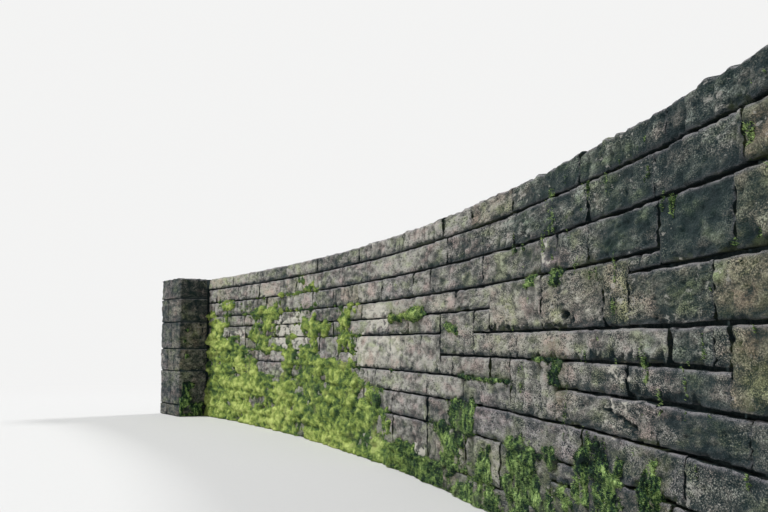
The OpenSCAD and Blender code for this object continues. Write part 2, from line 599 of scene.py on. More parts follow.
@dataclass(frozen=True)
class StoneCutter:
    """Cuts squared stones with worn arrises and a rough face."""

    moss: MossMap
    flaking: Spread
    soiling_and_shade: Spread
    filming: Spread
    broad_height: float = 0.0026
    broad_size: float = 0.12
    facet_height: float = 0.0034
    facet_size: float = 0.034
    grain_height: float = 0.0034
    grain_size: float = 0.019
    pit_depth: float = 0.0050
    pit_size: float = 0.019
    pit_rim: tuple[float, float] = (0.10, 0.46)
    unpitted: float = 0.66
    furrow_depth: float = 0.0052
    furrow_pitch: float = 0.075
    furrow_waver: float = 0.022
    comb_depth: float = 0.0018
    comb_pitch: float = 0.019
    comb_waver: float = 0.010
    mean_relief: float = 0.0058
    bed_gap: float = 0.0036
    upright_gap: float = 0.0048
    gap_share: tuple[float, float] = (0.75, 0.60)
    least_gap: float = 0.0009
    waver: float = 0.0021
    skin: float = 0.0004
    top_wear: Wear = Wear(0.0062, 0.0046)
    low_wear: Wear = Wear(0.0046, 0.0026)
    joint_wear: Wear = Wear(0.0036, 0.0020)
    bare_wear: Wear = Wear(0.014, 0.0080)
    head_wear: Wear = Wear(0.006, 0.0045)
    head_relief: float = 0.8
    spall_height: float = 0.024
    spall_depth: float = 0.013
    spall_end: float = 0.02
    breaking: tuple[float, float, float] = (0.8, 0.25, 0.0)
    corner_radius: tuple[float, float] = (0.0015, 0.0050)
    set_back: tuple[float, float] = (0.0002, 0.0042)
    lean_along: float = 0.0022
    lean_up: float = 0.004
    fade: float = 0.035
    fade_share: float = 0.45
    margin: float = 0.020
    margin_share: float = 0.28
    margin_lines: tuple[tuple[float, tuple[float, ...]], ...] = (
        (0.0095, (0.0, 0.12, 0.32, 0.62)),
        (0.018, (0.0, 0.18, 0.5)),
        (math.inf, (0.0, 0.3)),
    )
    rim_steps: tuple[float, float] = (0.0015, 0.010)
    bare_steps: tuple[float, float, float] = (0.003, 0.008, 0.016)
    bedding: tuple[float, float, float] = (0.55, 1.0, 1.0)
    arris_width: float = 0.008
    # Painted shade: the next settings darken each stone along its lower edge, by its joints and in its
    # damage.
    low_shade_height: float = 0.024
    joint_shade_width: float = 0.010
    hollow_depth: float = 0.006
    damage_shade_gain: float = 2.2
    damp_level: tuple[float, float] = (0.02, 0.30)
    damp_green: float = 0.55
    green_halo: float = 0.10
    # Painted shade on the sides of each stone: a little where they stand in the open, much where they stand
    # in a joint.
    aired: float = 0.35
    joint_side_shade: float = 3.0
    grain: Grain = field(default_factory=lambda: Grain(1907))

    def relief(self, points: Array, tooling: Tooling) -> Array:
        """How far a rough face lies behind its highest points.

        Args:
            points: Points of the stone, with the stone's own place in the noise.
            tooling: Marks on the stone.

        Returns:
            Depths, one for each point.
        """
        bedded = points * np.array(self.bedding)
        broad = self.grain.fractal(bedded, self.broad_size, 3)
        _, plane, _ = self.grain.facets(bedded, self.facet_size)
        fine = self.grain.fractal(bedded, self.grain_size, 2)
        distance, _, mark = self.grain.facets(bedded + 3, self.pit_size)
        pits = (1 - ramp(distance, *self.pit_rim)) * (mark > self.unpitted)
        depth = self.broad_height * broad + self.facet_height * plane + self.grain_height * fine
        if tooling is Tooling.FURROWED:
            wave = points[:, 0] + 0.10 * points[:, 1] + self.furrow_waver * self.grain.smooth(points, 0.11)
            depth += self.furrow_depth * np.clip(np.sin(wave * math.tau / self.furrow_pitch), 0, 1) ** 2
        if tooling is Tooling.COMBED:
            wave = 0.15 * points[:, 0] + points[:, 1] + self.comb_waver * self.grain.smooth(points, 0.07)
            depth += self.comb_depth * np.sin(wave * math.tau / self.comb_pitch)
        return np.clip(self.mean_relief + depth + self.pit_depth * pits, 0, None)

    def inset(self, block: Block, side: Side, points: Array, behind: Array) -> Array:
        """How far a side of the stone lies inside its line.

        Args:
            block: Stone that is cut.
            side: Side in question.
            points: Points of the side, with the stone's own place in the noise.
            behind: Distances behind the arris.

        Returns:
            Distances, one for each point.
        """
        if side in block.bare:
            worn = self.head_wear.drop * np.exp(-behind / self.head_wear.width)
            return self.skin + self.relief(points, Tooling.HAMMERED) * self.head_relief + worn
        gap = self.bed_gap + block.open_bed
        if side.upright:
            least, more = self.gap_share
            gap = self.upright_gap * (least + more * (block.seed * (side.value + 3) % 89) / 89)
        wavering = self.grain.fractal(points, 0.07, 3) * self.waver
        return np.clip(gap + wavering, self.least_gap, None)

    def worn_edges(self, block: Block, points: Array, edges: dict[Side, Array]) -> Array:
        """How far wear sets the face back along the arrises.

        Args:
            block: Stone that is cut.
            points: Points of the face, with the stone's own place in the noise.
            edges: Distance of each point from each side.

        Returns:
            Depths, one for each point.
        """
        uneven = 1 + 0.8 * self.grain.fractal(points * np.array(self.bedding), 0.040, 3)
        usual = {Side.LOW: self.low_wear, Side.HIGH: self.top_wear}
        depth = np.zeros(len(points))
        for side in Side:
            wear = self.bare_wear if side in block.bare else usual.get(side, self.joint_wear)
            part = np.clip(1 - edges[side] / (wear.width * np.clip(uneven, 0.4, 2)), 0, 1)
            depth = np.maximum(depth, wear.drop * np.clip(uneven, 0.5, 1.6) * part**2)
        return depth

    def spalls(self, block: Block, points: Array, edges: dict[Side, Array]) -> Array:
        """How far the lower arris is broken away.

        Args:
            block: Stone that is cut.
            points: Points of the face, with the stone's own place in the noise.
            edges: Distance of each point from each side.

        Returns:
            Depths, one for each point.
        """
        drawn_out = points * np.array(self.breaking)
        ragged = self.grain.fractal(drawn_out, 0.040, 4)
        broken = ramp(ragged, 0.22, 0.62) * 0.6
        run, end = edges[Side.NEAR] + block.near, self.spall_end
        for flaw in block.flaws:
            if flaw.kind is Damage.SPALL:
                inside = ramp(run, flaw.near - end, flaw.near + end)
                inside = inside * (1 - ramp(run, flaw.far - end, flaw.far + end))
                broken = np.maximum(broken, inside * ramp(ragged, -0.85, 0.05))
        crumbling = 1 + 0.6 * self.grain.fractal(points, 0.010, 2)
        height = np.clip(edges[Side.LOW] + 0.006 * self.grain.fractal(points + 3, 0.016, 3), 0, None)
        uneven = np.clip(0.75 + 0.9 * self.grain.fractal(drawn_out + 9, 0.020, 3), 0.15, 1.5)
        bite = np.clip(1 - height / (0.003 + self.spall_height * broken * uneven), 0, 1)
        return np.clip(self.spall_depth * broken * bite**0.7 * crumbling, 0, None)

    def damage(self, block: Block, points: Array, run: Array, level: Array) -> Array:
        """How far pits and cracks go into the face.

        Args:
            block: Stone that is cut.
            points: Points of the face, with the stone's own place in the noise.
            run: Runs of the points.
            level: Levels of the points.

        Returns:
            Depths, one for each point.
        """
        depth = np.zeros(len(run))
        for flaw in block.flaws:
            if flaw.kind is Damage.SPALL:
                continue
            span = np.array([flaw.far - flaw.near, flaw.high - flaw.low])
            off = np.stack([run - flaw.near, level - flaw.low], axis=-1)
            share = np.clip(off @ span / max(span @ span, 1e-9), 0, 1)
            away = np.linalg.norm(off - share[:, None] * span, axis=-1)
            away = away + self.grain.fractal(points, 0.03, 3) * flaw.width * 0.8
            depth = np.maximum(depth, flaw.depth * (1 - ramp(away, flaw.width * 0.2, flaw.width)))
        return depth

    def lines(self, length: float, spacing: float) -> Array:
        """Places grid lines across a stone, closer together by its arrises.

        Args:
            length: Length to be divided.
            spacing: Distance between lines away from the arrises.

        Returns:
            Places of the lines, from 0 to the length.
        """
        margin = min(self.margin, length * self.margin_share)
        steps = max(2, round((length - 2 * margin) / spacing))
        parts = np.array(next(shares for widest, shares in self.margin_lines if spacing < widest))
        middle = np.linspace(margin, length - margin, steps + 1)
        return np.concatenate([parts * margin, middle, length - parts[::-1] * margin])

    @staticmethod
    def rounded(u: Array, v: Array, length: float, rise: float, radius: float) -> tuple[Array, Array]:
        """Rounds the four corners of a face.

        Args:
            u: Places along the face.
            v: Places up the face.
            length: Length of the face.
            rise: Height of the face.
            radius: Radius of the corners.

        Returns:
            The places, with those near a corner drawn in.
        """
        inner_u, inner_v = np.clip(u, radius, length - radius), np.clip(v, radius, rise - radius)
        off_u, off_v = u - inner_u, v - inner_v
        reach = np.maximum(np.hypot(off_u, off_v), 1e-9)
        share = np.maximum(np.abs(off_u), np.abs(off_v)) / reach
        return inner_u + off_u * share, inner_v + off_v * share

    def cut(self, block: Block, plan: WallPlan) -> Shell:
        """Cuts one stone.

        Args:
            block: Place and size of the stone.
            plan: Plan of the wall.

        Returns:
            The closed surface of the stone, in the frame.
        """
        rng = np.random.default_rng(block.seed)
        shift = rng.uniform(0, 40, 3)
        length, rise = block.length, block.rise
        lines_u = self.lines(length, block.spacing * 1.2)
        lines_v = self.lines(rise, block.spacing)
        flat_u, flat_v = (a.ravel() for a in np.meshgrid(lines_u, lines_v, indexing="ij"))
        edges = {Side.NEAR: flat_u, Side.FAR: length - flat_u, Side.LOW: flat_v, Side.HIGH: rise - flat_v}
        radius = min(rng.uniform(*self.corner_radius), rise / 5)
        u, v = self.rounded(flat_u, flat_v, length, rise, radius)
        at_face = np.zeros(len(u))
        insets, fades = {}, {}
        for side in Side:
            spots = self._at(side, u, v, at_face, length, rise) + shift
            insets[side] = self.inset(block, side, spots, at_face)
            fade = min(self.fade, (length if side.upright else rise) * self.fade_share)
            fades[side] = np.clip(1 - edges[side] / fade, 0, 1)
        grid_u = u + insets[Side.NEAR] * fades[Side.NEAR] - insets[Side.FAR] * fades[Side.FAR]
        grid_v = v + insets[Side.LOW] * fades[Side.LOW] - insets[Side.HIGH] * fades[Side.HIGH]
        points = np.stack([u, v, at_face], axis=-1) + shift
        rough = self.relief(points, block.tooling)
        leaning = rng.uniform(-1, 1) * self.lean_along * (u / length - 0.5)
        leaning = leaning + rng.uniform(-0.4, 1) * self.lean_up * (v / rise - 0.5)
        hurt = self.spalls(block, points, edges)
        hurt = hurt + self.damage(block, points, block.near + grid_u, block.low + grid_v)
        depth = rng.uniform(*self.set_back) + leaning + rough + self.worn_edges(block, points, edges) + hurt
        depth = np.clip(depth, self.skin, None)

        ring = self._ring(len(lines_u), len(lines_v))
        inward_u = np.where(flat_u[ring] <= 0, 1.0, 0.0) - np.where(flat_u[ring] >= length, 1.0, 0.0)
        inward_v = np.where(flat_v[ring] <= 0, 1.0, 0.0) - np.where(flat_v[ring] >= rise, 1.0, 0.0)
        all_u, all_v, all_w = [grid_u], [grid_v], [depth]
        steps = self._steps(block)
        for step in steps:
            back = step / steps[-1] * (block.depth - depth[ring])
            behind = np.full(len(ring), step)
            side_u, side_v = grid_u[ring].copy(), grid_v[ring].copy()
            for side in block.bare:
                spots = self._at(side, u[ring], v[ring], back, length, rise) + shift
                change = self.inset(block, side, spots, behind) - insets[side][ring]
                if side.upright:
                    side_u += np.where(inward_u == side.inward, inward_u * change, 0)
                else:
                    side_v += np.where(inward_v == side.inward, inward_v * change, 0)
            all_u.append(side_u)
            all_v.append(side_v)
            all_w.append(depth[ring] + back)
        quads, cap = self._faces(len(lines_u), len(lines_v), ring, len(steps))
        run = block.near + np.concatenate(all_u)
        level = block.low + np.concatenate(all_v)
        open_air = np.zeros(len(ring), bool)
        for side in block.bare:
            open_air |= (inward_u if side.upright else inward_v) == side.inward
        # Painted shade: sides in the joints and damaged parts count as deep hollows, which the finish
        # darkens.
        sides = np.tile(np.where(open_air, self.aired, self.joint_side_shade), len(steps))
        traits = self._traits(block, run, level, rough + hurt * self.damage_shade_gain, edges, sides)
        within = np.clip(level, 0, plan.height - self.skin)
        placed = plan.place(block.face, run, within, np.concatenate(all_w))
        return Shell(placed, quads, [cap], traits).turned_out()

    def _traits(
        self, block: Block, run: Array, level: Array, rough: Array, edges: dict[Side, Array], sides: Array
    ) -> dict[str, Array]:
        """Works out what the finish of the stone needs to know at each point.

        Args:
            block: Stone that is cut.
            run: Runs of all points.
            level: Levels of all points.
            rough: Relief of the points of the face, damage and all.
            edges: Distance of the points of the face from each side.
            sides: How hollow the points of the other sides count, that is how deep the shade painted on
                them is.

        Returns:
            One array for each trait.
        """
        closest = np.minimum.reduce([edges[side] for side in Side])
        # The arris trait carries a painted highlight on the top edge, fainter on the other edges.
        arris = np.clip(1 - edges[Side.HIGH] / self.arris_width, 0, 1)
        arris = arris + 0.3 * np.clip(1 - closest / self.arris_width, 0, 1)
        # Painted shade: the deeper a point lies in the rough face, and the nearer the lower edge and the
        # joints, the darker it is painted.
        painted_low_shade = np.clip(1 - edges[Side.LOW] / self.low_shade_height, 0, 1) * 1.3
        painted_low_shade = painted_low_shade + np.clip(1 - closest / self.joint_shade_width, 0, 1) * 0.5
        hollow = np.clip((rough - self.mean_relief) / self.hollow_depth, -1, 3)
        hollow = hollow + painted_low_shade * (1 - 0.6 * arris)
        count = len(run)
        green = self.damp_green * (1 - ramp(level, *self.damp_level))
        flaked, stained_and_shaded = np.zeros(count), np.zeros(count)
        if block.face is Face.FRONT:
            green = np.maximum(self.moss.cover(run, level, self.green_halo), self.filming.share(run, level))
            # The darker patches carry painted shade as well as grime.
            flaked, stained_and_shaded = self.flaking.share(run, level), self.soiling_and_shade.share(run, level)
        return {
            "tone": np.full(count, block.tone),
            "warmth": np.full(count, block.warmth),
            "arris": np.concatenate([np.clip(arris, 0, 1), np.zeros(len(sides))]),
            "hollow": np.concatenate([hollow, sides]),
            "algae": green,
            "flaked": flaked,
            "stained_and_shaded": stained_and_shaded,
        }

    @staticmethod
    def _at(side: Side, u: Array, v: Array, w: Array, length: float, rise: float) -> Array:
        """Carries points over to one side of the stone.

        Args:
            side: Side in question.
            u: Places along the face.
            v: Places up the face.
            w: Distances behind the arris.
            length: Length of the face.
            rise: Height of the face.

        Returns:
            Points on that side, one row each.
        """
        if side is Side.NEAR:
            u = np.zeros_like(u)
        elif side is Side.FAR:
            u = np.full_like(u, length)
        elif side is Side.LOW:
            v = np.zeros_like(v)
        else:
            v = np.full_like(v, rise)
        return np.stack([u, v, w], axis=-1)

    def _steps(self, block: Block) -> list[float]:
        """Settles how far behind the arris the sides of a stone have their points.

        Args:
            block: Stone that is cut.

        Returns:
            The distances, up to the depth of the stone.
        """
        if not block.bare:
            return [*self.rim_steps, block.depth]
        *first, last = self.bare_steps
        count = max(2, round((block.depth - last) / max(block.spacing * 2.2, last)))
        return [*first, *np.linspace(last, block.depth, count + 1)]

    @staticmethod
    def _ring(count_u: int, count_v: int) -> Array:
        """Lists the points round the rim of a face, counter-clockwise.

        Args:
            count_u: Grid lines along the face.
            count_v: Grid lines up the face.

        Returns:
            The numbers of the points.
        """
        low = [i * count_v for i in range(count_u)]
        far = [(count_u - 1) * count_v + j for j in range(1, count_v)]
        high = [i * count_v + count_v - 1 for i in range(count_u - 2, -1, -1)]
        near = list(range(count_v - 2, 0, -1))
        return np.array(low + far + high + near)

    @staticmethod
    def _faces(count_u: int, count_v: int, ring: Array, rings: int) -> tuple[Array, list[int]]:
        """Joins the points of a stone up to faces.

        Args:
            count_u: Grid lines along the face.
            count_v: Grid lines up the face.
            ring: Numbers of the points round the rim.
            rings: Number of rings behind the rim.

        Returns:
            Faces with four corners, and the one face that closes the stone behind.
        """
        corner = (np.arange(count_u - 1)[:, None] * count_v + np.arange(count_v - 1)).ravel()
        quads = [np.stack([corner, corner + count_v, corner + count_v + 1, corner + 1], axis=-1)]
        front = ring
        for number in range(rings):
            back = count_u * count_v + number * len(ring) + np.arange(len(ring))
            after_front, after_back = np.roll(front, -1), np.roll(back, -1)
            quads.append(np.stack([after_front, front, back, after_back], axis=-1))
            front = back
        return np.concatenate(quads), front[::-1].tolist()


class Term:
    """A number that runs through a node tree. Sums with it add Math nodes."""

    def __init__(self, nodes: "Nodes", socket: bpy.types.NodeSocket) -> None:
        """Wraps a socket of the tree."""
        self.nodes = nodes
        self.socket = socket

    def _math(self, operation: str, first: Any, second: Any) -> "Term":
        """Adds a Math node.

        Args:
            operation: What the node does.
            first: Value or link of the first socket.
            second: Value or link of the second socket.

        Returns:
            The node's result.
        """
        made = self.nodes.add("ShaderNodeMath", {"operation": operation}, {0: first, 1: second})
        return Term(self.nodes, made.outputs[0])

    def __add__(self, other: Any) -> "Term":
        """Sum."""
        return self._math("ADD", self, other)

    def __radd__(self, other: Any) -> "Term":
        """Sum, reflected."""
        return self._math("ADD", other, self)

    def __sub__(self, other: Any) -> "Term":
        """Difference."""
        return self._math("SUBTRACT", self, other)

    def __rsub__(self, other: Any) -> "Term":
        """Difference, reflected."""
        return self._math("SUBTRACT", other, self)

    def __mul__(self, other: Any) -> "Term":
        """Product."""
        return self._math("MULTIPLY", self, other)

    def __rmul__(self, other: Any) -> "Term":
        """Product, reflected."""
        return self._math("MULTIPLY", other, self)


Input = Union[Term, bpy.types.NodeSocket, float, tuple, Vector]
Inputs = dict[Union[str, int], Any]


class Nodes:
    """Node tree of a material or of the world, and the one way in which its nodes are added."""

    def __init__(self, tree: bpy.types.NodeTree) -> None:
        """Empties the tree."""
        self.tree = tree
        self.tree.nodes.clear()

    def add(self, kind: str, settings: dict[str, Any], inputs: Inputs) -> bpy.types.Node:
        """Adds a node.

        Args:
            kind: Type of the node.
            settings: Settings of the node; stops are those of a ramp.
            inputs: Values or links of its sockets, by name or number.

        Returns:
            The node.
        """
        made = self.tree.nodes.new(kind)
        for setting, value in settings.items():
            if setting == "stops":
                self._set_stops(made.color_ramp, value)
            else:
                setattr(made, setting, value)
        self.feed(made, inputs)
        return made

    def feed(self, made: bpy.types.Node, inputs: Inputs) -> None:
        """Sets or links sockets of a node.

        Args:
            made: The node.
            inputs: Values or links of the sockets, by name or number.
        """
        for key, value in inputs.items():
            value = value.socket if isinstance(value, Term) else value
            if isinstance(value, bpy.types.NodeSocket):
                self.tree.links.new(value, made.inputs[key])
            else:
                made.inputs[key].default_value = value

    @staticmethod
    def _set_stops(colours: bpy.types.ColorRamp, stops: Sequence[tuple[float, Colour]]) -> None:
        """Sets the stops of a ramp.

        Args:
            colours: The ramp.
            stops: Place and colour of each stop, in order.
        """
        while len(colours.elements) < len(stops):
            colours.elements.new(1.0)
        for element, (position, colour) in zip(colours.elements, stops):
            element.position = position
            element.color = (*colour, 1.0)

    def seen(self) -> Term:
        """Tells the rays that show a backdrop from those that only light the object.

        Returns:
            1 for a ray from the camera, or from one by way of gloss or glass, and 0 for others.
        """
        outputs = self.add("ShaderNodeLightPath", {}, {}).outputs
        seen = Term(self, outputs["Is Camera Ray"]) + Term(self, outputs["Is Glossy Ray"])
        return seen + Term(self, outputs["Is Transmission Ray"])

    def blend(self, factor: Input, first: bpy.types.Node, second: bpy.types.Node) -> bpy.types.NodeSocket:
        """Blends two surfaces or backgrounds, by the share of the second."""
        inputs = {0: factor, 1: first.outputs[0], 2: second.outputs[0]}
        return self.add("ShaderNodeMixShader", {}, inputs).outputs[0]


class Shader(Nodes):
    """Nodes of one material, with a Principled BSDF that its terms feed."""

    SPECULAR = 0.2

    def __init__(self, name: str) -> None:
        """Makes an empty material.

        Args:
            name: Name of the material.
        """
        self.material = bpy.data.materials.new(name)
        self.material.use_nodes = True
        super().__init__(self.material.node_tree)
        self.surface = self.add("ShaderNodeBsdfPrincipled", {}, {})
        self.output = self.add("ShaderNodeOutputMaterial", {}, {"Surface": self.surface.outputs[0]})
        self.place = self.add("ShaderNodeTexCoord", {}, {}).outputs["Object"]

    def stretched(self, factors: tuple[float, float, float]) -> bpy.types.NodeSocket:
        """Place on the object, with each axis multiplied by a factor."""
        made = self.add("ShaderNodeVectorMath", {"operation": "MULTIPLY"}, {0: self.place, 1: factors})
        return made.outputs[0]

    def noise(self, scale: float, detail: float, roughness: float = 0.5, place: Any = None) -> Term:
        """Adds noise.

        Args:
            scale: Lumps to the metre.
            detail: Number of finer layers.
            roughness: Share that each finer layer has.
            place: Coordinates, or None for the place on the object.

        Returns:
            The noise, from 0 to 1.
        """
        inputs = {"Vector": place or self.place, "Scale": scale, "Detail": detail, "Roughness": roughness}
        return Term(self, self.add("ShaderNodeTexNoise", {}, inputs).outputs[0])

    def cells(self, scale: float, place: bpy.types.NodeSocket) -> Term:
        """Distance to the middle of the nearest of many cells, in cell widths."""
        made = self.add("ShaderNodeTexVoronoi", {}, {"Vector": place, "Scale": scale})
        return Term(self, made.outputs[0])

    def trait(self, name: str) -> Term:
        """A trait that the mesh carries at each point."""
        made = self.add("ShaderNodeAttribute", {"attribute_name": name, "attribute_type": "GEOMETRY"}, {})
        return Term(self, made.outputs["Fac"])

    def step(self, value: Input, start: float, end: float, low: float = 0.0, high: float = 1.0) -> Term:
        """Turns a number smoothly into another range.

        Args:
            value: The number.
            start: Value at which the change starts.
            end: Value at which the change ends.
            low: Result up to the start.
            high: Result from the end on.

        Returns:
            The new number.
        """
        inputs = {"Value": value, "From Min": start, "From Max": end, "To Min": low, "To Max": high}
        made = self.add("ShaderNodeMapRange", {"interpolation_type": "SMOOTHSTEP"}, inputs)
        return Term(self, made.outputs[0])

    def colours(self, value: Input, stops: Sequence[tuple[float, Colour]]) -> bpy.types.NodeSocket:
        """Colour that a number picks from a ramp."""
        return self.add("ShaderNodeValToRGB", {"stops": stops}, {0: value}).outputs[0]

    def mix(self, factor: Input, first: Any, second: Any, blend: str = "MIX") -> bpy.types.NodeSocket:
        """Mixes two colours.

        Args:
            factor: Share of the second colour.
            first: Colour or link.
            second: Colour or link.
            blend: Way in which they are blended.

        Returns:
            The mixed colour.
        """
        first, second = ((*c, 1.0) if isinstance(c, tuple) else c for c in (first, second))
        settings = {"data_type": "RGBA", "blend_type": blend}
        return self.add("ShaderNodeMix", settings, {0: factor, 6: first, 7: second}).outputs[2]

    def layered(
        self, colour: Any, layers: Sequence[tuple[Input, Colour]], blend: str = "MIX"
    ) -> bpy.types.NodeSocket:
        """Lays colours over one another.

        Args:
            colour: Colour or link underneath.
            layers: Share and colour of each layer, in order.
            blend: Way in which they are blended.

        Returns:
            The colour on top.
        """
        for factor, layer in layers:
            colour = self.mix(factor, colour, layer, blend)
        return colour

    def dress(
        self, colour: Any, roughness: Input, height: Union[Term, None] = None, depth: float = 0.0
    ) -> bpy.types.Material:
        """Feeds the surface.

        Args:
            colour: Base colour.
            roughness: Roughness.
            height: Height of the fine relief, from 0 to 1, or None.
            depth: Depth of the fine relief.

        Returns:
            The finished material.
        """
        inputs = {"Base Color": colour, "Roughness": roughness, "Specular IOR Level": self.SPECULAR}
        if height is not None:
            bump = self.add("ShaderNodeBump", {}, {"Height": height, "Distance": depth, "Strength": 1.0})
            inputs["Normal"] = bump.outputs[0]
        self.feed(self.surface, inputs)
        return self.material


@dataclass(frozen=True)
class StoneFinish:
    """Weathered sandstone with sooty dirt, lichen and a film of algae, with painted shade in its hollows,
    joints and darker patches and a painted highlight on its top arrises.
    """

    name: str = "weathered_stone"
    # The two darkest colours: near-black teal, partly sooty dirt and partly painted shade for the darkest
    # hollows, pits and joint sides.
    soot_and_painted_shade: Colour = (0.007, 0.021, 0.025)
    deep: Colour = (0.030, 0.048, 0.050)
    body: Colour = (0.104, 0.107, 0.097)
    pale: Colour = (0.245, 0.240, 0.215)
    cream: Colour = (0.560, 0.545, 0.490)
    warm_tint: Colour = (1.05, 1.00, 0.82)
    cool_tint: Colour = (1.00, 0.98, 1.07)
    rosy_tint: Colour = (1.13, 0.97, 0.98)
    olive_tint: Colour = (0.95, 1.04, 0.80)
    # Tint of the darker patches: partly damp grime, partly painted shade.
    shade_tint: Colour = (0.72, 0.90, 0.86)
    # Pale lilac of the arrises: painted highlight where the top edges catch the light, with a little wear.
    worn: Colour = (0.400, 0.385, 0.410)
    film: Colour = (0.082, 0.104, 0.030)
    flake: Colour = (0.740, 0.710, 0.620)
    relief: float = 0.026

    def material(self) -> bpy.types.Material:
        """Builds the finish.

        Returns:
            The material.
        """
        shader = Shader(self.name)
        tone, warmth, arris = shader.trait("tone"), shader.trait("warmth"), shader.trait("arris")
        hollow, algae = shader.trait("hollow"), shader.trait("algae")
        flaked, stained_and_shaded = shader.trait("flaked"), shader.trait("stained_and_shaded")
        bedded = shader.stretched((0.40, 0.8, 1.0))
        grained = shader.stretched((0.60, 0.8, 1.0))
        patches = shader.noise(5.5, 3, 0.55, bedded)
        mottle = shader.noise(34, 9, 0.68, bedded)
        sand = shader.noise(380, 3, 0.65, grained)
        grain = (sand - 0.5) * 1.7 + (0.46 - shader.cells(320.0, grained)) * 0.95
        grain = grain * (0.62 + shader.step(shader.noise(11, 3, 0.55, bedded), 0.40, 0.60) * 0.75)
        grain = grain * (1 - shader.step(tone, 0.8, 2.5) * 0.55) * (1 - stained_and_shaded * 0.6) * (1 - algae * 0.5)
        value = 0.535 + tone * 0.15 + (patches - 0.5) * 0.9 + (mottle - 0.5) * 2.3
        # Painted shade: hollows and the shaded patches are made darker; the patches are partly sooty dirt
        # as well.
        value = value + grain - hollow * 0.12 - stained_and_shaded * 0.13
        stops = (
            (0.05, self.soot_and_painted_shade),
            (0.30, self.deep),
            (0.50, self.body),
            (0.72, self.pale),
            (1.0, self.cream),
        )
        hues = shader.noise(15, 4, 0.6, bedded)
        tints = (
            (shader.step(warmth + (patches - 0.5) * 2, 0, 1), self.warm_tint),
            (shader.step(0 - warmth, 0, 1), self.cool_tint),
            (shader.step(hues, 0.50, 0.66), self.rosy_tint),
            (1 - shader.step(hues, 0.34, 0.50), self.olive_tint),
            (stained_and_shaded, self.shade_tint),
        )
        colour = shader.layered(shader.colours(value, stops), tints, "MULTIPLY")
        # Painted shade, with some sooty dirt: hollows, spalls and the sides of stones in the joints take
        # the darkest colour.
        soot_and_shade_in_hollows = shader.step(hollow + (mottle - 0.5) * 6.0, 0.5, 1.9)
        streaks = shader.noise(20, 4, 0.6, shader.stretched((1.0, 1.0, 0.16)))
        # Pits take the darkest colour too: dirt in them, and painted shade.
        pits = 1 - shader.step(shader.cells(85.0, bedded), 0.12, 0.30)
        pits = pits * shader.step(patches + (mottle - 0.5) * 0.8, 0.42, 0.58)
        lichen = shader.step(shader.noise(60, 4, 0.6, bedded) + (patches - 0.5) * 0.5, 0.65, 0.71)
        # Painted highlight along the top arris, fainter along the other arrises.
        edge = arris * shader.step(mottle + (sand - 0.5) * 0.8, 0.32, 0.58)
        greening = algae * 0.8 + (mottle - 0.5) * 2.4 + (patches - 0.5) + hollow * 0.15
        flakes = shader.step(flaked + (shader.noise(34, 5, 0.6, bedded) - 0.5) * 3.6, 0.66, 0.94)
        coats = (
            (shader.step(streaks, 0.56, 0.74) * 0.35 + soot_and_shade_in_hollows * 0.80, self.soot_and_painted_shade),
            (pits * 0.75, self.soot_and_painted_shade),
            (lichen * 0.6, self.cream),
            (edge * 0.80, self.worn),
            (shader.step(greening, 0.38, 1.15) * 0.60, self.film),
            (flakes * 0.85, self.flake),
        )
        colour = shader.layered(colour, coats)
        height = mottle + sand * 0.35 - pits * 0.20
        return shader.dress(colour, shader.step(value, 0.2, 0.9, 0.80, 0.94), height, self.relief)


@dataclass(frozen=True)
class MortarFinish:
    """Dark, sooty lime mortar, whose near-black teal is partly painted shade in the raked joints."""

    name: str = "raked_mortar"
    # Near-black teal: partly sooty mortar, partly painted shade of the deep joints.
    dark: Colour = (0.006, 0.017, 0.020)
    light: Colour = (0.045, 0.062, 0.060)
    roughness: float = 0.95
    relief: float = 0.006

    def material(self) -> bpy.types.Material:
        """Builds the finish.

        Returns:
            The material.
        """
        shader = Shader(self.name)
        lumps = shader.noise(60, 5, 0.65)
        grit = shader.noise(380, 3)
        value = lumps + (grit - 0.5) * 0.6
        colour = shader.colours(value, ((0.35, self.dark), (0.75, self.light)))
        return shader.dress(colour, self.roughness, value, self.relief)


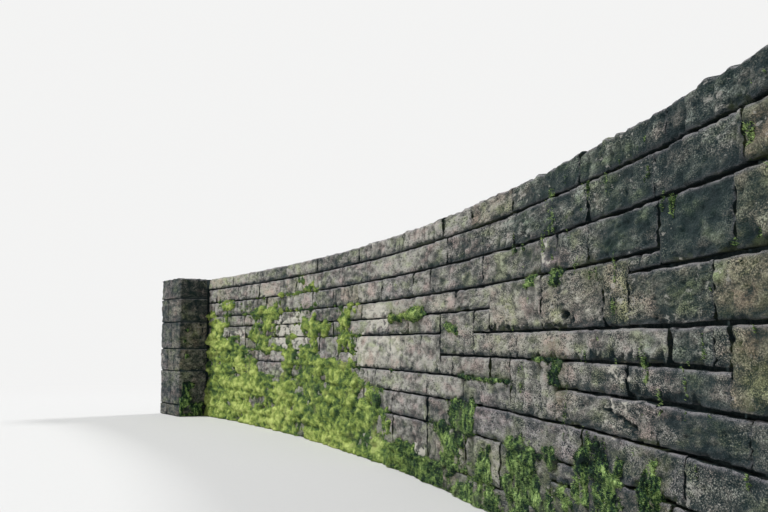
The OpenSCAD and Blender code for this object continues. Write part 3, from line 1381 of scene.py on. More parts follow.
@dataclass(frozen=True)
class MossFinish:
    """Cushions of moss, dark between the tufts and yellow-green on top, with painted light towards the pier
    and on the crowns and painted shade near the free end.
    """

    name: str = "moss_cushions"
    shade: Colour = (0.008, 0.018, 0.012)
    leaf: Colour = (0.044, 0.094, 0.030)
    lit: Colour = (0.225, 0.305, 0.062)
    tip: Colour = (0.520, 0.600, 0.180)
    dry: Colour = (0.270, 0.235, 0.130)
    shade_tint: Colour = (0.84, 0.98, 1.26)
    roughness: float = 0.92
    relief: float = 0.007

    def material(self) -> bpy.types.Material:
        """Builds the finish.

        Returns:
            The material.
        """
        shader = Shader(self.name)
        crown, sun = shader.trait("crown"), shader.trait("sun")
        tufts = shader.noise(130, 5, 0.7)
        clumps = shader.noise(34, 5, 0.62, shader.stretched((0.50, 0.8, 1.0)))
        drifts = shader.noise(9, 3, 0.5, shader.stretched((0.55, 0.8, 1.0)))
        hairs = shader.noise(420, 3, 0.6)
        zones = shader.noise(3.6, 2, 0.5, shader.stretched((0.3, 0.5, 1.0)))
        strands = shader.noise(75, 4, 0.6, shader.stretched((1.0, 1.0, 0.26)))
        fine = ((tufts - 0.5) * 2.4 + (hairs - 0.5) * 1.9) * (1 - sun * 0.7)
        fine = fine + (strands - 0.5) * 3.2 * (1 - sun)
        # Painted light: brighter towards the pier, where the sun trait rises, and on the crowns of thick
        # cushions and tuft tips.
        value = 0.20 + sun * 0.24 + crown * 0.26 + fine + (clumps - 0.5) * (2.16 - sun * 0.36)
        value = value + (drifts - 0.5) + (zones - 0.5) * 0.8
        stops = ((0.0, self.shade), (0.36, self.leaf), (0.68, self.lit), (1.0, self.tip))
        colour = shader.colours(value, stops)
        colour = shader.mix(shader.step(shader.noise(9, 3), 0.58, 0.70) * 0.30, colour, self.dry)
        # Painted shade: moss away from the pier is tinted blue-green.
        colour = shader.mix(1 - sun, colour, self.shade_tint, "MULTIPLY")
        return shader.dress(colour, self.roughness, tufts * 0.7 + hairs * 0.3, self.relief)


@dataclass(frozen=True)
class FloorFinish:
    """Pale floor that runs out into the background, between two distances from the wall."""

    background: Colour
    name: str = "pale_floor"
    tint: Colour = (0.62, 0.6169, 0.6107)
    mottling: float = 1.03
    roughness: float = 0.9
    fade_from: float = 4.5
    fade_to: float = 9.5

    def material(self) -> bpy.types.Material:
        """Builds the finish.

        Returns:
            The material.
        """
        shader = Shader(self.name)
        paler = tuple(channel * self.mottling for channel in self.tint)
        shader.dress(shader.mix(shader.noise(30, 3), self.tint, paler), self.roughness)
        away = shader.add("ShaderNodeVectorMath", {"operation": "LENGTH"}, {0: shader.place})
        fading = shader.step(Term(shader, away.outputs[1]), self.fade_from, self.fade_to) * shader.seen()
        glow = shader.add("ShaderNodeEmission", {}, {"Color": (*self.background, 1.0), "Strength": 1.0})
        shader.feed(shader.output, {"Surface": shader.blend(fading, shader.surface, glow)})
        return shader.material


@dataclass(frozen=True)
class Course:
    """A row of stones between two bed joints, by the runs of its upright joints."""

    low: float
    high: float
    joints: tuple[float, ...]
    goes_on: bool = True


@dataclass(frozen=True)
class Marked:
    """A stone that stands out: a point on it, and how its colour differs."""

    run: float
    level: float
    tone: float
    warmth: float
    tooling: Tooling = Tooling.HAMMERED


@dataclass(frozen=True)
class Jumper:
    """A stone that breaks the bed joints of its courses, by its joints."""

    near: float
    far: float
    low: float
    high: float


@dataclass(frozen=True)
class Bond:
    """How the stones of one long face are laid."""

    face: Face
    courses: tuple[Course, ...]
    jumpers: tuple[Jumper, ...] = ()
    marked: tuple[Marked, ...] = ()
    flaws: tuple[Flaw, ...] = ()
    spacings: tuple[float, ...] = (0.020,) * 6
    depths: tuple[float, float] = (0.152, 0.166)
    shortest: float = 0.22
    longest: float = 0.62
    overlap: float = 0.07
    moved_on: float = 0.12
    touching: float = 0.005
    jumper_margin: float = 0.06
    head_levels: tuple[float, ...] = (0.083, 0.227, 0.326, 0.414, 0.565, 0.817, 0.916, 1.002)
    narrow_head: float = 0.12
    head_joint: float = 0.007
    open_beds_to: float = 0.0
    opening: float = 0.0010
    tooling_odds: tuple[float, float, float] = (0.62, 0.18, 0.20)
    tone_spread: float = 0.38
    tone_range: tuple[float, float] = (-1.2, 3.6)
    warmth_spread: float = 0.28
    warmth_range: tuple[float, float] = (-1.2, 1.2)
    paling_and_painted_light: float = 0.0
    paling_from: float = 1.5
    paling_over: float = 1.5
    seed: int = 7

    def blocks(self, plan: WallPlan) -> list[Block]:
        """Lays all stones of the face.

        Args:
            plan: Plan of the wall.

        Returns:
            The stones, course by course.
        """
        rng = np.random.default_rng(self.seed)
        laid: list[Block] = []
        below: Sequence[float] = ()
        for course in self.courses:
            joints = self._all_joints(course, below, plan.run_total, rng)
            cuts = self._cuts(course, joints)
            for near, far in zip(cuts, cuts[1:]):
                if not self._in_jumper((near + far) / 2, (course.low + course.high) / 2):
                    laid.append(self._block(near, far, course.low, course.high, plan, rng))
            below = joints
        for jumper in self.jumpers:
            laid.append(self._block(jumper.near, jumper.far, jumper.low, jumper.high, plan, rng))
        return laid

    def _all_joints(
        self, course: Course, below: Sequence[float], end: float, rng: np.random.Generator
    ) -> list[float]:
        """Upright joints of a course, carried on to the end of the wall.

        Args:
            course: Course in question.
            below: Joints of the course below.
            end: Run at which the wall ends.
            rng: Source of random numbers.

        Returns:
            The joints, in order.
        """
        joints = list(course.joints)
        while course.goes_on and joints[-1] < end:
            length = rng.uniform(self.shortest, self.longest)
            place = joints[-1] + length
            if any(abs(place - other) < self.overlap for other in below):
                place += self.moved_on
            joints.append(place if place < end - self.shortest / 2 else end)
        return joints

    def _cuts(self, course: Course, joints: Sequence[float]) -> list[float]:
        """Joints of a course where the jumpers that cross it are taken into account.

        Args:
            course: Course in question.
            joints: Upright joints of the course.

        Returns:
            Ends of all stones of the course, in order.
        """
        low, high = course.low + self.touching, course.high - self.touching
        crossing = [jumper for jumper in self.jumpers if jumper.low < high and jumper.high > low]
        kept, margin = set(joints), self.jumper_margin
        for jumper in crossing:
            kept -= {joint for joint in kept if jumper.near - margin < joint < jumper.far + margin}
        kept |= {joints[0], joints[-1]}
        for jumper in crossing:
            kept |= {jumper.near, jumper.far} if jumper.near > joints[0] else {jumper.far}
        return sorted(cut for cut in kept if joints[0] <= cut <= joints[-1])

    def _in_jumper(self, run: float, level: float) -> bool:
        """True where a jumper takes the place of the course."""
        return any(j.near < run < j.far and j.low < level < j.high for j in self.jumpers)

    def _block(
        self, near: float, far: float, low: float, high: float, plan: WallPlan, rng: np.random.Generator
    ) -> Block:
        """Settles one stone of the face.

        Args:
            near: Run at which the stone starts.
            far: Run at which it ends.
            low: Level of its bed.
            high: Level of its top.
            plan: Plan of the wall.
            rng: Source of random numbers.

        Returns:
            The stone.
        """
        middle, level = (near + far) / 2, (low + high) / 2
        bare = set()
        depth = self.depths[int(rng.integers(2))]
        if near <= 0:
            bare.add(Side.NEAR)
            depth = self._head(level, plan.thickness)
        if high >= plan.height:
            bare.add(Side.HIGH)
        tone, warmth = rng.normal(0, self.tone_spread), rng.normal(0, self.warmth_spread)
        tooling = list(Tooling)[int(rng.choice(3, p=self.tooling_odds))]
        for mark in self.marked:
            if near < mark.run < far and low < mark.level < high:
                tone, warmth, tooling = mark.tone, mark.warmth, mark.tooling
        # Stones get paler towards the pier: partly paler stone, partly painted light.
        tone += self.paling_and_painted_light * min(1.0, max(0.0, (middle - self.paling_from) / self.paling_over))
        flaws = tuple(f for f in self.flaws if f.near < far and f.far > near and low <= f.low < high)
        return Block(
            face=self.face,
            near=near,
            far=far,
            low=low,
            high=high,
            depth=depth,
            bare=frozenset(bare),
            spacing=self.spacings[plan.bay_of(middle) - 1],
            tone=float(np.clip(tone, *self.tone_range)),
            warmth=float(np.clip(warmth, *self.warmth_range)),
            tooling=tooling,
            open_bed=self.opening if middle <= self.open_beds_to else 0.0,
            flaws=flaws,
        )

    def _head(self, level: float, thickness: float) -> float:
        """Depth of a stone at the free end, where narrow and wide heads take turns.

        Args:
            level: Level of the stone's middle.
            thickness: Thickness of the wall.

        Returns:
            The depth, up to the upright joint between the two heads.
        """
        zone = next(number for number, top in enumerate(self.head_levels) if level < top)
        narrow = (zone % 2 == 0) == (self.face is Face.FRONT)
        width = self.narrow_head if narrow else thickness - self.narrow_head
        return width - self.head_joint / 2


FRONT_BOND = Bond(
    face=Face.FRONT,
    courses=(
        Course(0.0, 0.083, (0.0, 0.41, 0.93, 1.38, 1.86, 2.30, 2.79)),
        Course(0.083, 0.227, (0.0, 0.36, 0.80, 1.12, 1.427, 2.068, 2.447, 2.93, 3.42)),
        Course(0.227, 0.326, (0.0, 0.29, 0.730, 1.346, 2.444, 2.93, 3.438)),
        Course(0.326, 0.414, (0.0, 0.45, 0.868, 1.538, 1.958, 2.466, 2.929, 3.705)),
        Course(0.414, 0.487, (0.0, 0.52, 1.036, 1.274, 1.538, 1.958, 2.166, 2.61, 3.02, 3.52, 3.98)),
        Course(0.487, 0.565, (0.0, 0.52, 0.591, 0.800, 1.885, 2.047, 2.344, 2.752, 3.011, 3.316, 4.002)),
        Course(0.565, 0.681, (0.0, 0.22, 0.581, 1.018), goes_on=False),
        Course(0.565, 0.717, (1.018, 1.182, 1.655, 2.161), goes_on=False),
        Course(0.565, 0.641, (2.161, 2.344, 2.752, 3.20, 3.66, 4.12)),
        Course(0.641, 0.717, (2.161, 2.56, 2.99, 3.44, 3.92)),
        Course(0.681, 0.817, (0.0, 0.487, 0.838), goes_on=False),
        Course(0.681, 0.717, (0.838, 1.018), goes_on=False),
        Course(0.717, 0.817, (0.838, 1.274, 1.515, 1.661, 2.24, 2.884, 3.137, 3.594)),
        Course(0.817, 0.916, (0.0, 0.441, 0.86, 1.270, 1.913, 2.656, 2.910, 3.345)),
        Course(0.916, 1.002, (0.0, 0.33, 0.79, 1.33, 1.911, 2.36)),
    ),
    jumpers=(
        Jumper(0.0, 0.52, 0.414, 0.565),
        Jumper(1.538, 1.958, 0.326, 0.487),
        Jumper(2.344, 2.752, 0.487, 0.641),
        Jumper(2.752, 3.316, 0.414, 0.565),
        Jumper(3.316, 4.002, 0.414, 0.565),
        Jumper(1.427, 1.597, 0.171, 0.227),
        Jumper(1.427, 1.597, 0.083, 0.171),
        Jumper(4.316, 4.660, 0.414, 0.565),
        Jumper(5.30, 5.72, 0.226, 0.414),
        Jumper(6.12, 6.46, 0.487, 0.641),
    ),
    marked=(
        Marked(3.66, 0.53, 2.4, 0.3),
        Marked(3.00, 0.53, 0.1, 0.1),
        Marked(2.70, 0.37, 0.5, -0.1),
        Marked(3.30, 0.37, 0.5, 0.1),
        Marked(4.49, 0.50, 0.2, -0.5),
        Marked(0.30, 0.49, 0.9, 1.2),
        Marked(0.20, 0.87, 0.6, 1.0),
        Marked(0.24, 0.75, 0.7, 0.8),
        Marked(0.40, 0.62, 0.7, 1.2),
        Marked(0.10, 0.62, 0.4, 1.2),
        Marked(0.66, 0.75, -0.6, 0.1),
        Marked(0.60, 0.28, -0.3, -0.1),
        Marked(0.50, 0.15, -0.6, 0.0),
        Marked(1.40, 0.64, 0.85, 0.3, Tooling.COMBED),
        Marked(1.90, 0.64, 1.1, 0.2),
        Marked(0.79, 0.62, -0.2, 0.3, Tooling.COMBED),
        Marked(1.58, 0.76, 1.5, -1.2),
        Marked(1.40, 0.76, 0.8, 0.2),
        Marked(2.00, 0.77, 1.0, 0.2),
        Marked(1.51, 0.20, 0.5, -1.0),
        Marked(1.75, 0.40, 0.9, -0.2, Tooling.FURROWED),
        Marked(1.30, 0.52, 1.6, 0.1),
        Marked(1.45, 0.45, 1.1, 0.0),
        Marked(1.15, 0.45, 0.9, 0.3),
        Marked(1.20, 0.37, 0.95, 0.1, Tooling.COMBED),
        Marked(0.74, 0.45, 0.35, 0.1),
        Marked(1.65, 0.28, 0.1, -1.0),
        Marked(2.20, 0.28, 0.1, -0.8),
        Marked(2.20, 0.37, 0.2, -0.6),
        Marked(1.00, 0.28, 0.1, -0.6),
        Marked(0.60, 0.37, -0.1, -0.3, Tooling.COMBED),
        Marked(5.10, 0.60, 1.2, 0.1),
        Marked(3.80, 0.67, 1.1, 0.2),
        Marked(2.55, 0.56, -0.2, 0.1),
    ),
    spacings=(0.0056, 0.0062, 0.0078, 0.0096, 0.0112, 0.0120),
    open_beds_to=0.85,
    paling_and_painted_light=2.2,
    flaws=(
        Flaw(Damage.SPALL, 0.82, 0.487, 1.74, 0.487),
        Flaw(Damage.SPALL, 0.66, 0.414, 1.04, 0.414),
        Flaw(Damage.SPALL, 1.40, 0.565, 2.16, 0.565),
        Flaw(Damage.SPALL, 0.20, 0.681, 0.45, 0.681),
        Flaw(Damage.PIT, 1.465, 0.600, 1.425, 0.603, 0.013, 0.024),
        Flaw(Damage.PIT, 1.390, 0.588, 1.385, 0.588, 0.009, 0.012),
        Flaw(Damage.CRACK, 1.187, 0.383, 1.120, 0.377, 0.006, 0.012),
        Flaw(Damage.CRACK, 1.120, 0.371, 1.060, 0.368, 0.006, 0.014),
        Flaw(Damage.CRACK, 1.070, 0.362, 0.986, 0.352, 0.008, 0.018),
        Flaw(Damage.CRACK, 3.010, 0.487, 3.000, 0.565, 0.006, 0.010),
    ),
)


def plain_courses(levels: Sequence[float]) -> tuple[Course, ...]:
    """Lays out an ordinary face, with a long and a short stone in turn at the free end.

    Args:
        levels: Levels of the bed joints, from the ground to the top.

    Returns:
        The courses.
    """
    first = itertools.cycle((0.33, 0.18))
    return tuple(Course(low, high, (0.0, next(first))) for low, high in zip(levels, levels[1:]))


BACK_BOND = Bond(
    face=Face.BACK,
    courses=plain_courses(WallPlan().levels),
    jumpers=(
        Jumper(0.92, 1.26, 0.083, 0.326),
        Jumper(2.05, 2.40, 0.487, 0.717),
        Jumper(3.10, 3.48, 0.326, 0.487),
        Jumper(4.30, 4.62, 0.717, 0.916),
        Jumper(5.02, 5.40, 0.227, 0.414),
        Jumper(6.05, 6.36, 0.565, 0.817),
    ),
    paling_and_painted_light=0.9,
    seed=23,
)

MOSS = MossMap(
    growths=Spread.of(
        (4.15, 6.95, -0.10, 0.36, 0.96, 0.10),
        (4.30, 6.95, 0.30, 0.62, 0.80, 0.10),
        (4.70, 6.95, 0.55, 0.80, 0.58, 0.10),
        (4.70, 5.45, 0.80, 0.90, 0.64, 0.06),
        (3.95, 5.00, 0.15, 0.42, 0.88, 0.07),
        (3.96, 4.38, 0.42, 0.70, 0.62, 0.05),
        (3.45, 4.25, -0.10, 0.30, 0.80, 0.07),
        (2.30, 4.40, -0.10, 0.10, 0.94, 0.05),
        (2.34, 2.68, 0.235, 0.325, 0.88, 0.03),
        (2.42, 2.76, 0.04, 0.24, 0.70, 0.04),
        (2.98, 3.50, 0.625, 0.664, 0.95, 0.02),
        (2.50, 2.66, 0.575, 0.620, 0.60, 0.02),
        (2.14, 2.31, 0.09, 0.18, 0.82, 0.03),
        (1.80, 1.98, 0.05, 0.245, 0.74, 0.025),
        (1.58, 1.86, 0.04, 0.235, 0.66, 0.04),
        (1.56, 1.66, 0.205, 0.262, 0.96, 0.02),
        (1.43, 1.57, 0.08, 0.165, 0.62, 0.03),
        (1.30, 1.40, 0.140, 0.262, 0.80, 0.018),
        (1.16, 1.27, 0.150, 0.240, 0.62, 0.03),
        (0.855, 0.932, 0.110, 0.292, 0.96, 0.012),
        (1.08, 1.27, 0.10, 0.270, 0.50, 0.04),
        (1.05, 1.27, 0.216, 0.232, 0.50, 0.012),
        (1.505, 1.56, 0.412, 0.489, 0.98, 0.010),
        (1.58, 1.70, 0.480, 0.490, 0.74, 0.005),
        (1.98, 2.50, 0.404, 0.422, 0.78, 0.007),
        (1.70, 1.80, 0.682, 0.716, 0.66, 0.012),
        (1.46, 1.56, 0.684, 0.716, 0.66, 0.012),
        (1.20, 1.31, 0.676, 0.716, 0.66, 0.015),
        (0.55, 2.40, -0.10, 0.050, 0.76, 0.04),
    ),
    clearings=Spread.of(
        (5.32, 5.86, 0.335, 0.480, 0.75, 0.03),
        (4.33, 4.66, 0.440, 0.556, 0.90, 0.025),
        (5.90, 6.12, 0.500, 0.560, 0.80, 0.02),
        (4.95, 5.45, 0.490, 0.690, 0.55, 0.05),
        (6.30, 6.60, 0.570, 0.640, 0.80, 0.02),
    ),
)

PIER_MOSS = MossMap(
    growths=Spread.of(
        (-0.185, -0.125, 0.42, 0.64, 0.80, 0.020),
        (-0.210, -0.110, -0.05, 0.24, 0.82, 0.030),
        (-0.120, 0.010, -0.05, 0.10, 0.72, 0.030),
    )
)

FLAKING = Spread.of(
    (4.90, 5.50, 0.490, 0.700, 0.95, 0.05),
    (3.50, 3.84, 0.600, 0.705, 1.00, 0.03),
    (3.30, 4.20, 0.450, 0.560, 0.80, 0.05),
    (4.75, 5.40, 0.800, 0.900, 0.62, 0.05),
    (6.15, 6.75, 0.530, 0.640, 0.62, 0.05),
    (2.95, 3.12, 0.090, 0.140, 0.90, 0.02),
    (2.42, 2.50, 0.395, 0.425, 0.80, 0.01),
    (1.00, 1.20, 0.435, 0.480, 0.76, 0.02),
    (0.98, 1.20, 0.335, 0.395, 0.58, 0.03),
    (1.10, 1.55, 0.575, 0.640, 0.36, 0.04),
    (1.53, 1.66, 0.735, 0.815, 0.60, 0.03),
)

# Darker, bluer patches: partly sooty and damp stone, partly painted shade cast by overhanging plants that
# are not built.
SOILING_AND_PAINTED_SHADE = Spread.of(
    (0.50, 1.90, 0.820, 1.10, 0.80, 0.12),
    (-0.20, 0.60, 0.920, 1.10, 0.80, 0.06),
    (0.40, 1.22, 0.700, 0.85, 0.90, 0.06),
    (0.50, 0.95, 0.560, 0.71, 0.75, 0.06),
    (-0.20, 0.36, 0.640, 0.76, 0.55, 0.06),
    (0.55, 0.75, 0.400, 0.58, 0.65, 0.05),
    (-0.20, 0.45, 0.400, 0.57, 0.30, 0.12),
    (-0.20, 0.75, -0.10, 0.40, 0.42, 0.12),
)

FILMING = Spread.of(
    (-0.20, 0.52, 0.415, 0.565, 0.80, 0.05),
    (-0.20, 0.56, 0.570, 0.690, 0.70, 0.05),
    (-0.20, 0.48, 0.730, 0.910, 0.60, 0.06),
    (1.15, 1.80, 0.660, 0.717, 0.48, 0.03),
    (2.00, 3.20, 0.790, 0.990, 0.34, 0.10),
    (3.90, 4.50, 0.400, 0.750, 0.60, 0.06),
    (5.80, 6.90, 0.450, 0.820, 0.70, 0.08),
)


@dataclass
class Masonry:
    """Stones of one face or of the pier, joined to one piece for each node that they replace."""

    plan: WallPlan
    cutter: StoneCutter
    material: bpy.types.Material

    def raise_pieces(self, blocks: Iterable[Block], name_of: Callable[[Block], str]) -> None:
        """Cuts stones and joins them, node by node.

        Args:
            blocks: Stones to be cut.
            name_of: Gives the node that a stone belongs to.
        """
        groups: dict[str, list[Shell]] = {}
        for block in blocks:
            groups.setdefault(name_of(block), []).append(self.cutter.cut(block, self.plan))
        for node, shells in sorted(groups.items()):
            piece = joined(f"{node}_stones", shells, self.material)
            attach(piece, "root")
            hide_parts(node)
            LOG.info("%s: %d stones, %d faces", piece.name, len(shells), len(piece.data.polygons))


@dataclass
class Bays:
    """The six bays of the wall: stones of both faces, laid and joined lift by lift."""

    masonry: Masonry
    bonds: tuple[Bond, ...] = (FRONT_BOND, BACK_BOND)

    def node_of(self, block: Block) -> str:
        """Name of the node that holds the middle of a stone."""
        run, level = block.middle
        return f"bay_{self.masonry.plan.bay_of(run)}_{self.masonry.plan.lift_of(level)}"

    def build(self) -> None:
        """Makes the pieces of all bays."""
        blocks = [block for bond in self.bonds for block in bond.blocks(self.masonry.plan)]
        self.masonry.raise_pieces(blocks, self.node_of)


@dataclass
class Pier:
    """The square pier at the far end, of large quoins that bond round its corners."""

    masonry: Masonry
    levels: tuple[float, ...] = (0.0, 0.083, 0.326, 0.487, 0.681, 0.852, 1.002)
    short: float = 0.18
    spacing: float = 0.012
    tones: tuple[float, float] = (-0.5, 0.7)
    warmths: tuple[float, float] = (-0.9, 0.4)
    seed: int = 61

    def node_of(self, block: Block) -> str:
        """Name of the node that holds the middle of a stone."""
        return f"pier_{self.masonry.plan.lift_of(block.middle[1])}"

    def blocks(self) -> list[Block]:
        """Lays the quoins.

        Returns:
            Four stones for each course.
        """
        plan = self.masonry.plan
        rng = np.random.default_rng(self.seed)
        front, back, width = -plan.pier_projection, plan.thickness, plan.pier_width
        laid = []
        for number, (low, high) in enumerate(zip(self.levels, self.levels[1:])):
            top = {Side.HIGH} if high >= plan.height else set()
            if number % 2 == 0:
                split_across, split_along = front + self.short, width - self.short
            else:
                split_across, split_along = back - self.short, self.short
            outer = width - split_along
            shapes = (
                (Face.PIER_NEAR, front, 0.0, split_along, {Side.NEAR}),
                (Face.PIER_FAR, front, split_across, outer, {Side.NEAR}),
                (Face.PIER_FAR, split_across, back, outer, {Side.FAR}),
                (Face.PIER_BACK, 0.0, split_along, self.short, set()),
            )
            for face, near, far, depth, bare in shapes:
                laid.append(
                    Block(
                        face=face,
                        near=near,
                        far=far,
                        low=low,
                        high=high,
                        depth=depth - self.masonry.cutter.upright_gap,
                        bare=frozenset(bare | top),
                        spacing=self.spacing,
                        tone=float(rng.uniform(*self.tones)),
                        warmth=float(rng.uniform(*self.warmths)),
                        tooling=list(Tooling)[int(rng.integers(3))],
                    )
                )
        return laid

    def build(self) -> None:
        """Makes the pieces of the pier."""
        self.masonry.raise_pieces(self.blocks(), self.node_of)


@dataclass
class MortarCore:
    """Raked mortar and hearting behind the stones: a piece for each bay, and one for the pier."""

    plan: WallPlan
    material: bpy.types.Material
    recess: float = 0.032
    pier_recess: float = 0.016
    below_top: float = 0.007
    unevenness: float = 0.0035
    sagging: float = 1.5
    spacing: float = 0.045
    grain: Grain = field(default_factory=lambda: Grain(88))

    def _bar(
        self,
        name: str,
        stations: Array,
        place: Callable[[Array, Array, Array], Array],
        recess: float,
        back: float,
    ) -> None:
        """Makes one closed bar of mortar.

        Args:
            name: Name of the piece.
            stations: Places of the cross-sections along the bar.
            place: Turns stations, levels and depths into points of the frame.
            recess: Depth of the bar's front.
            back: Depth of the bar's back.
        """
        top = self.plan.height - self.below_top
        levels = np.linspace(0.0, top, round(top / self.spacing) + 1)
        depths = np.linspace(recess, back, round((back - recess) / self.spacing) + 1)
        over, under = depths[1:], depths[-2:0:-1]
        section = (
            (levels, np.full(len(levels), recess)),
            (np.full(len(over), top), over),
            (levels[-2::-1], np.full(len(levels) - 1, back)),
            (np.zeros(len(under)), under),
        )
        level, depth = (np.tile(np.concatenate(part), len(stations)) for part in zip(*section))
        around = len(level) // len(stations)
        station = np.repeat(stations, around)
        points = place(station, level, depth)
        wobble = self.grain.fractal(points, 0.03, 2) * self.unevenness
        outward = np.where(depth <= recess, 1.0, 0.0) - np.where(depth >= back, 1.0, 0.0)
        lowered = np.where(level >= top, -np.abs(wobble) * self.sagging, 0.0)
        points = place(station, level + lowered, depth + outward * np.abs(wobble))
        rows, places = np.arange(len(stations) - 1)[:, None] * around, np.arange(around)
        start = (rows + places).ravel()
        after = (rows + (places + 1) % around).ravel()
        quads = np.stack([start, after, after + around, start + around], axis=-1)
        first = list(range(around))[::-1]
        last = [(len(stations) - 1) * around + number for number in range(around)]
        piece = joined(name, [Shell(points, quads, [first, last], {}).turned_out()], self.material)
        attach(piece, "root")
        LOG.info("%s: %d faces", name, len(piece.data.polygons))

    def build(self) -> None:
        """Makes the mortar of all bays and of the pier."""
        plan = self.plan
        back = plan.thickness - self.recess
        for bay in range(1, plan.bay_count + 1):
            near = (bay - 1) * plan.bay_length + (self.recess if bay == 1 else 0.0)
            stations = np.linspace(near, bay * plan.bay_length, round(plan.bay_length / self.spacing))
            self._bar(f"bay_{bay}_mortar", stations, plan.on_wall, self.recess, back)
        inset = self.pier_recess
        stations = np.linspace(inset, plan.pier_width - inset, round(plan.pier_width / self.spacing))
        front = plan.pier_projection

        def on_pier(station: Array, level: Array, depth: Array) -> Array:
            """Points of the pier, with depths from its own front face."""
            return plan.on_pier(depth - front, station, level)

        self._bar("pier_mortar", stations, on_pier, inset, front + plan.thickness - inset)


@dataclass(frozen=True)
class Mat:
    """One piece of moss: the stretch of a face that it may cover, how finely, and its tufts."""

    name: str
    face: Face
    near: float
    far: float
    top: float
    cell: float
    tufts: int


def mats_of_bays(plan: WallPlan) -> tuple[Mat, ...]:
    """Lays out one mat for each bay of the front face, finer towards the free end.

    Args:
        plan: Plan of the wall.

    Returns:
        The mats, with narrow gaps between them.
    """
    cells = (0.0060, 0.0065, 0.0075, 0.0095, 0.0105, 0.0105)
    tufts = (6000, 12000, 9000, 5000, 5000, 5000)
    gap = 0.002
    return tuple(
        Mat(
            name=f"bay_{bay + 1}_moss",
            face=Face.FRONT,
            near=bay * plan.bay_length + gap / 2,
            far=(bay + 1) * plan.bay_length - gap / 2,
            top=0.95,
            cell=cells[bay],
            tufts=tufts[bay],
        )
        for bay in range(plan.bay_count)
    )


PIER_MATS = (Mat("pier_moss", Face.PIER_NEAR, -0.205, -0.004, 0.70, 0.0085, 500),)


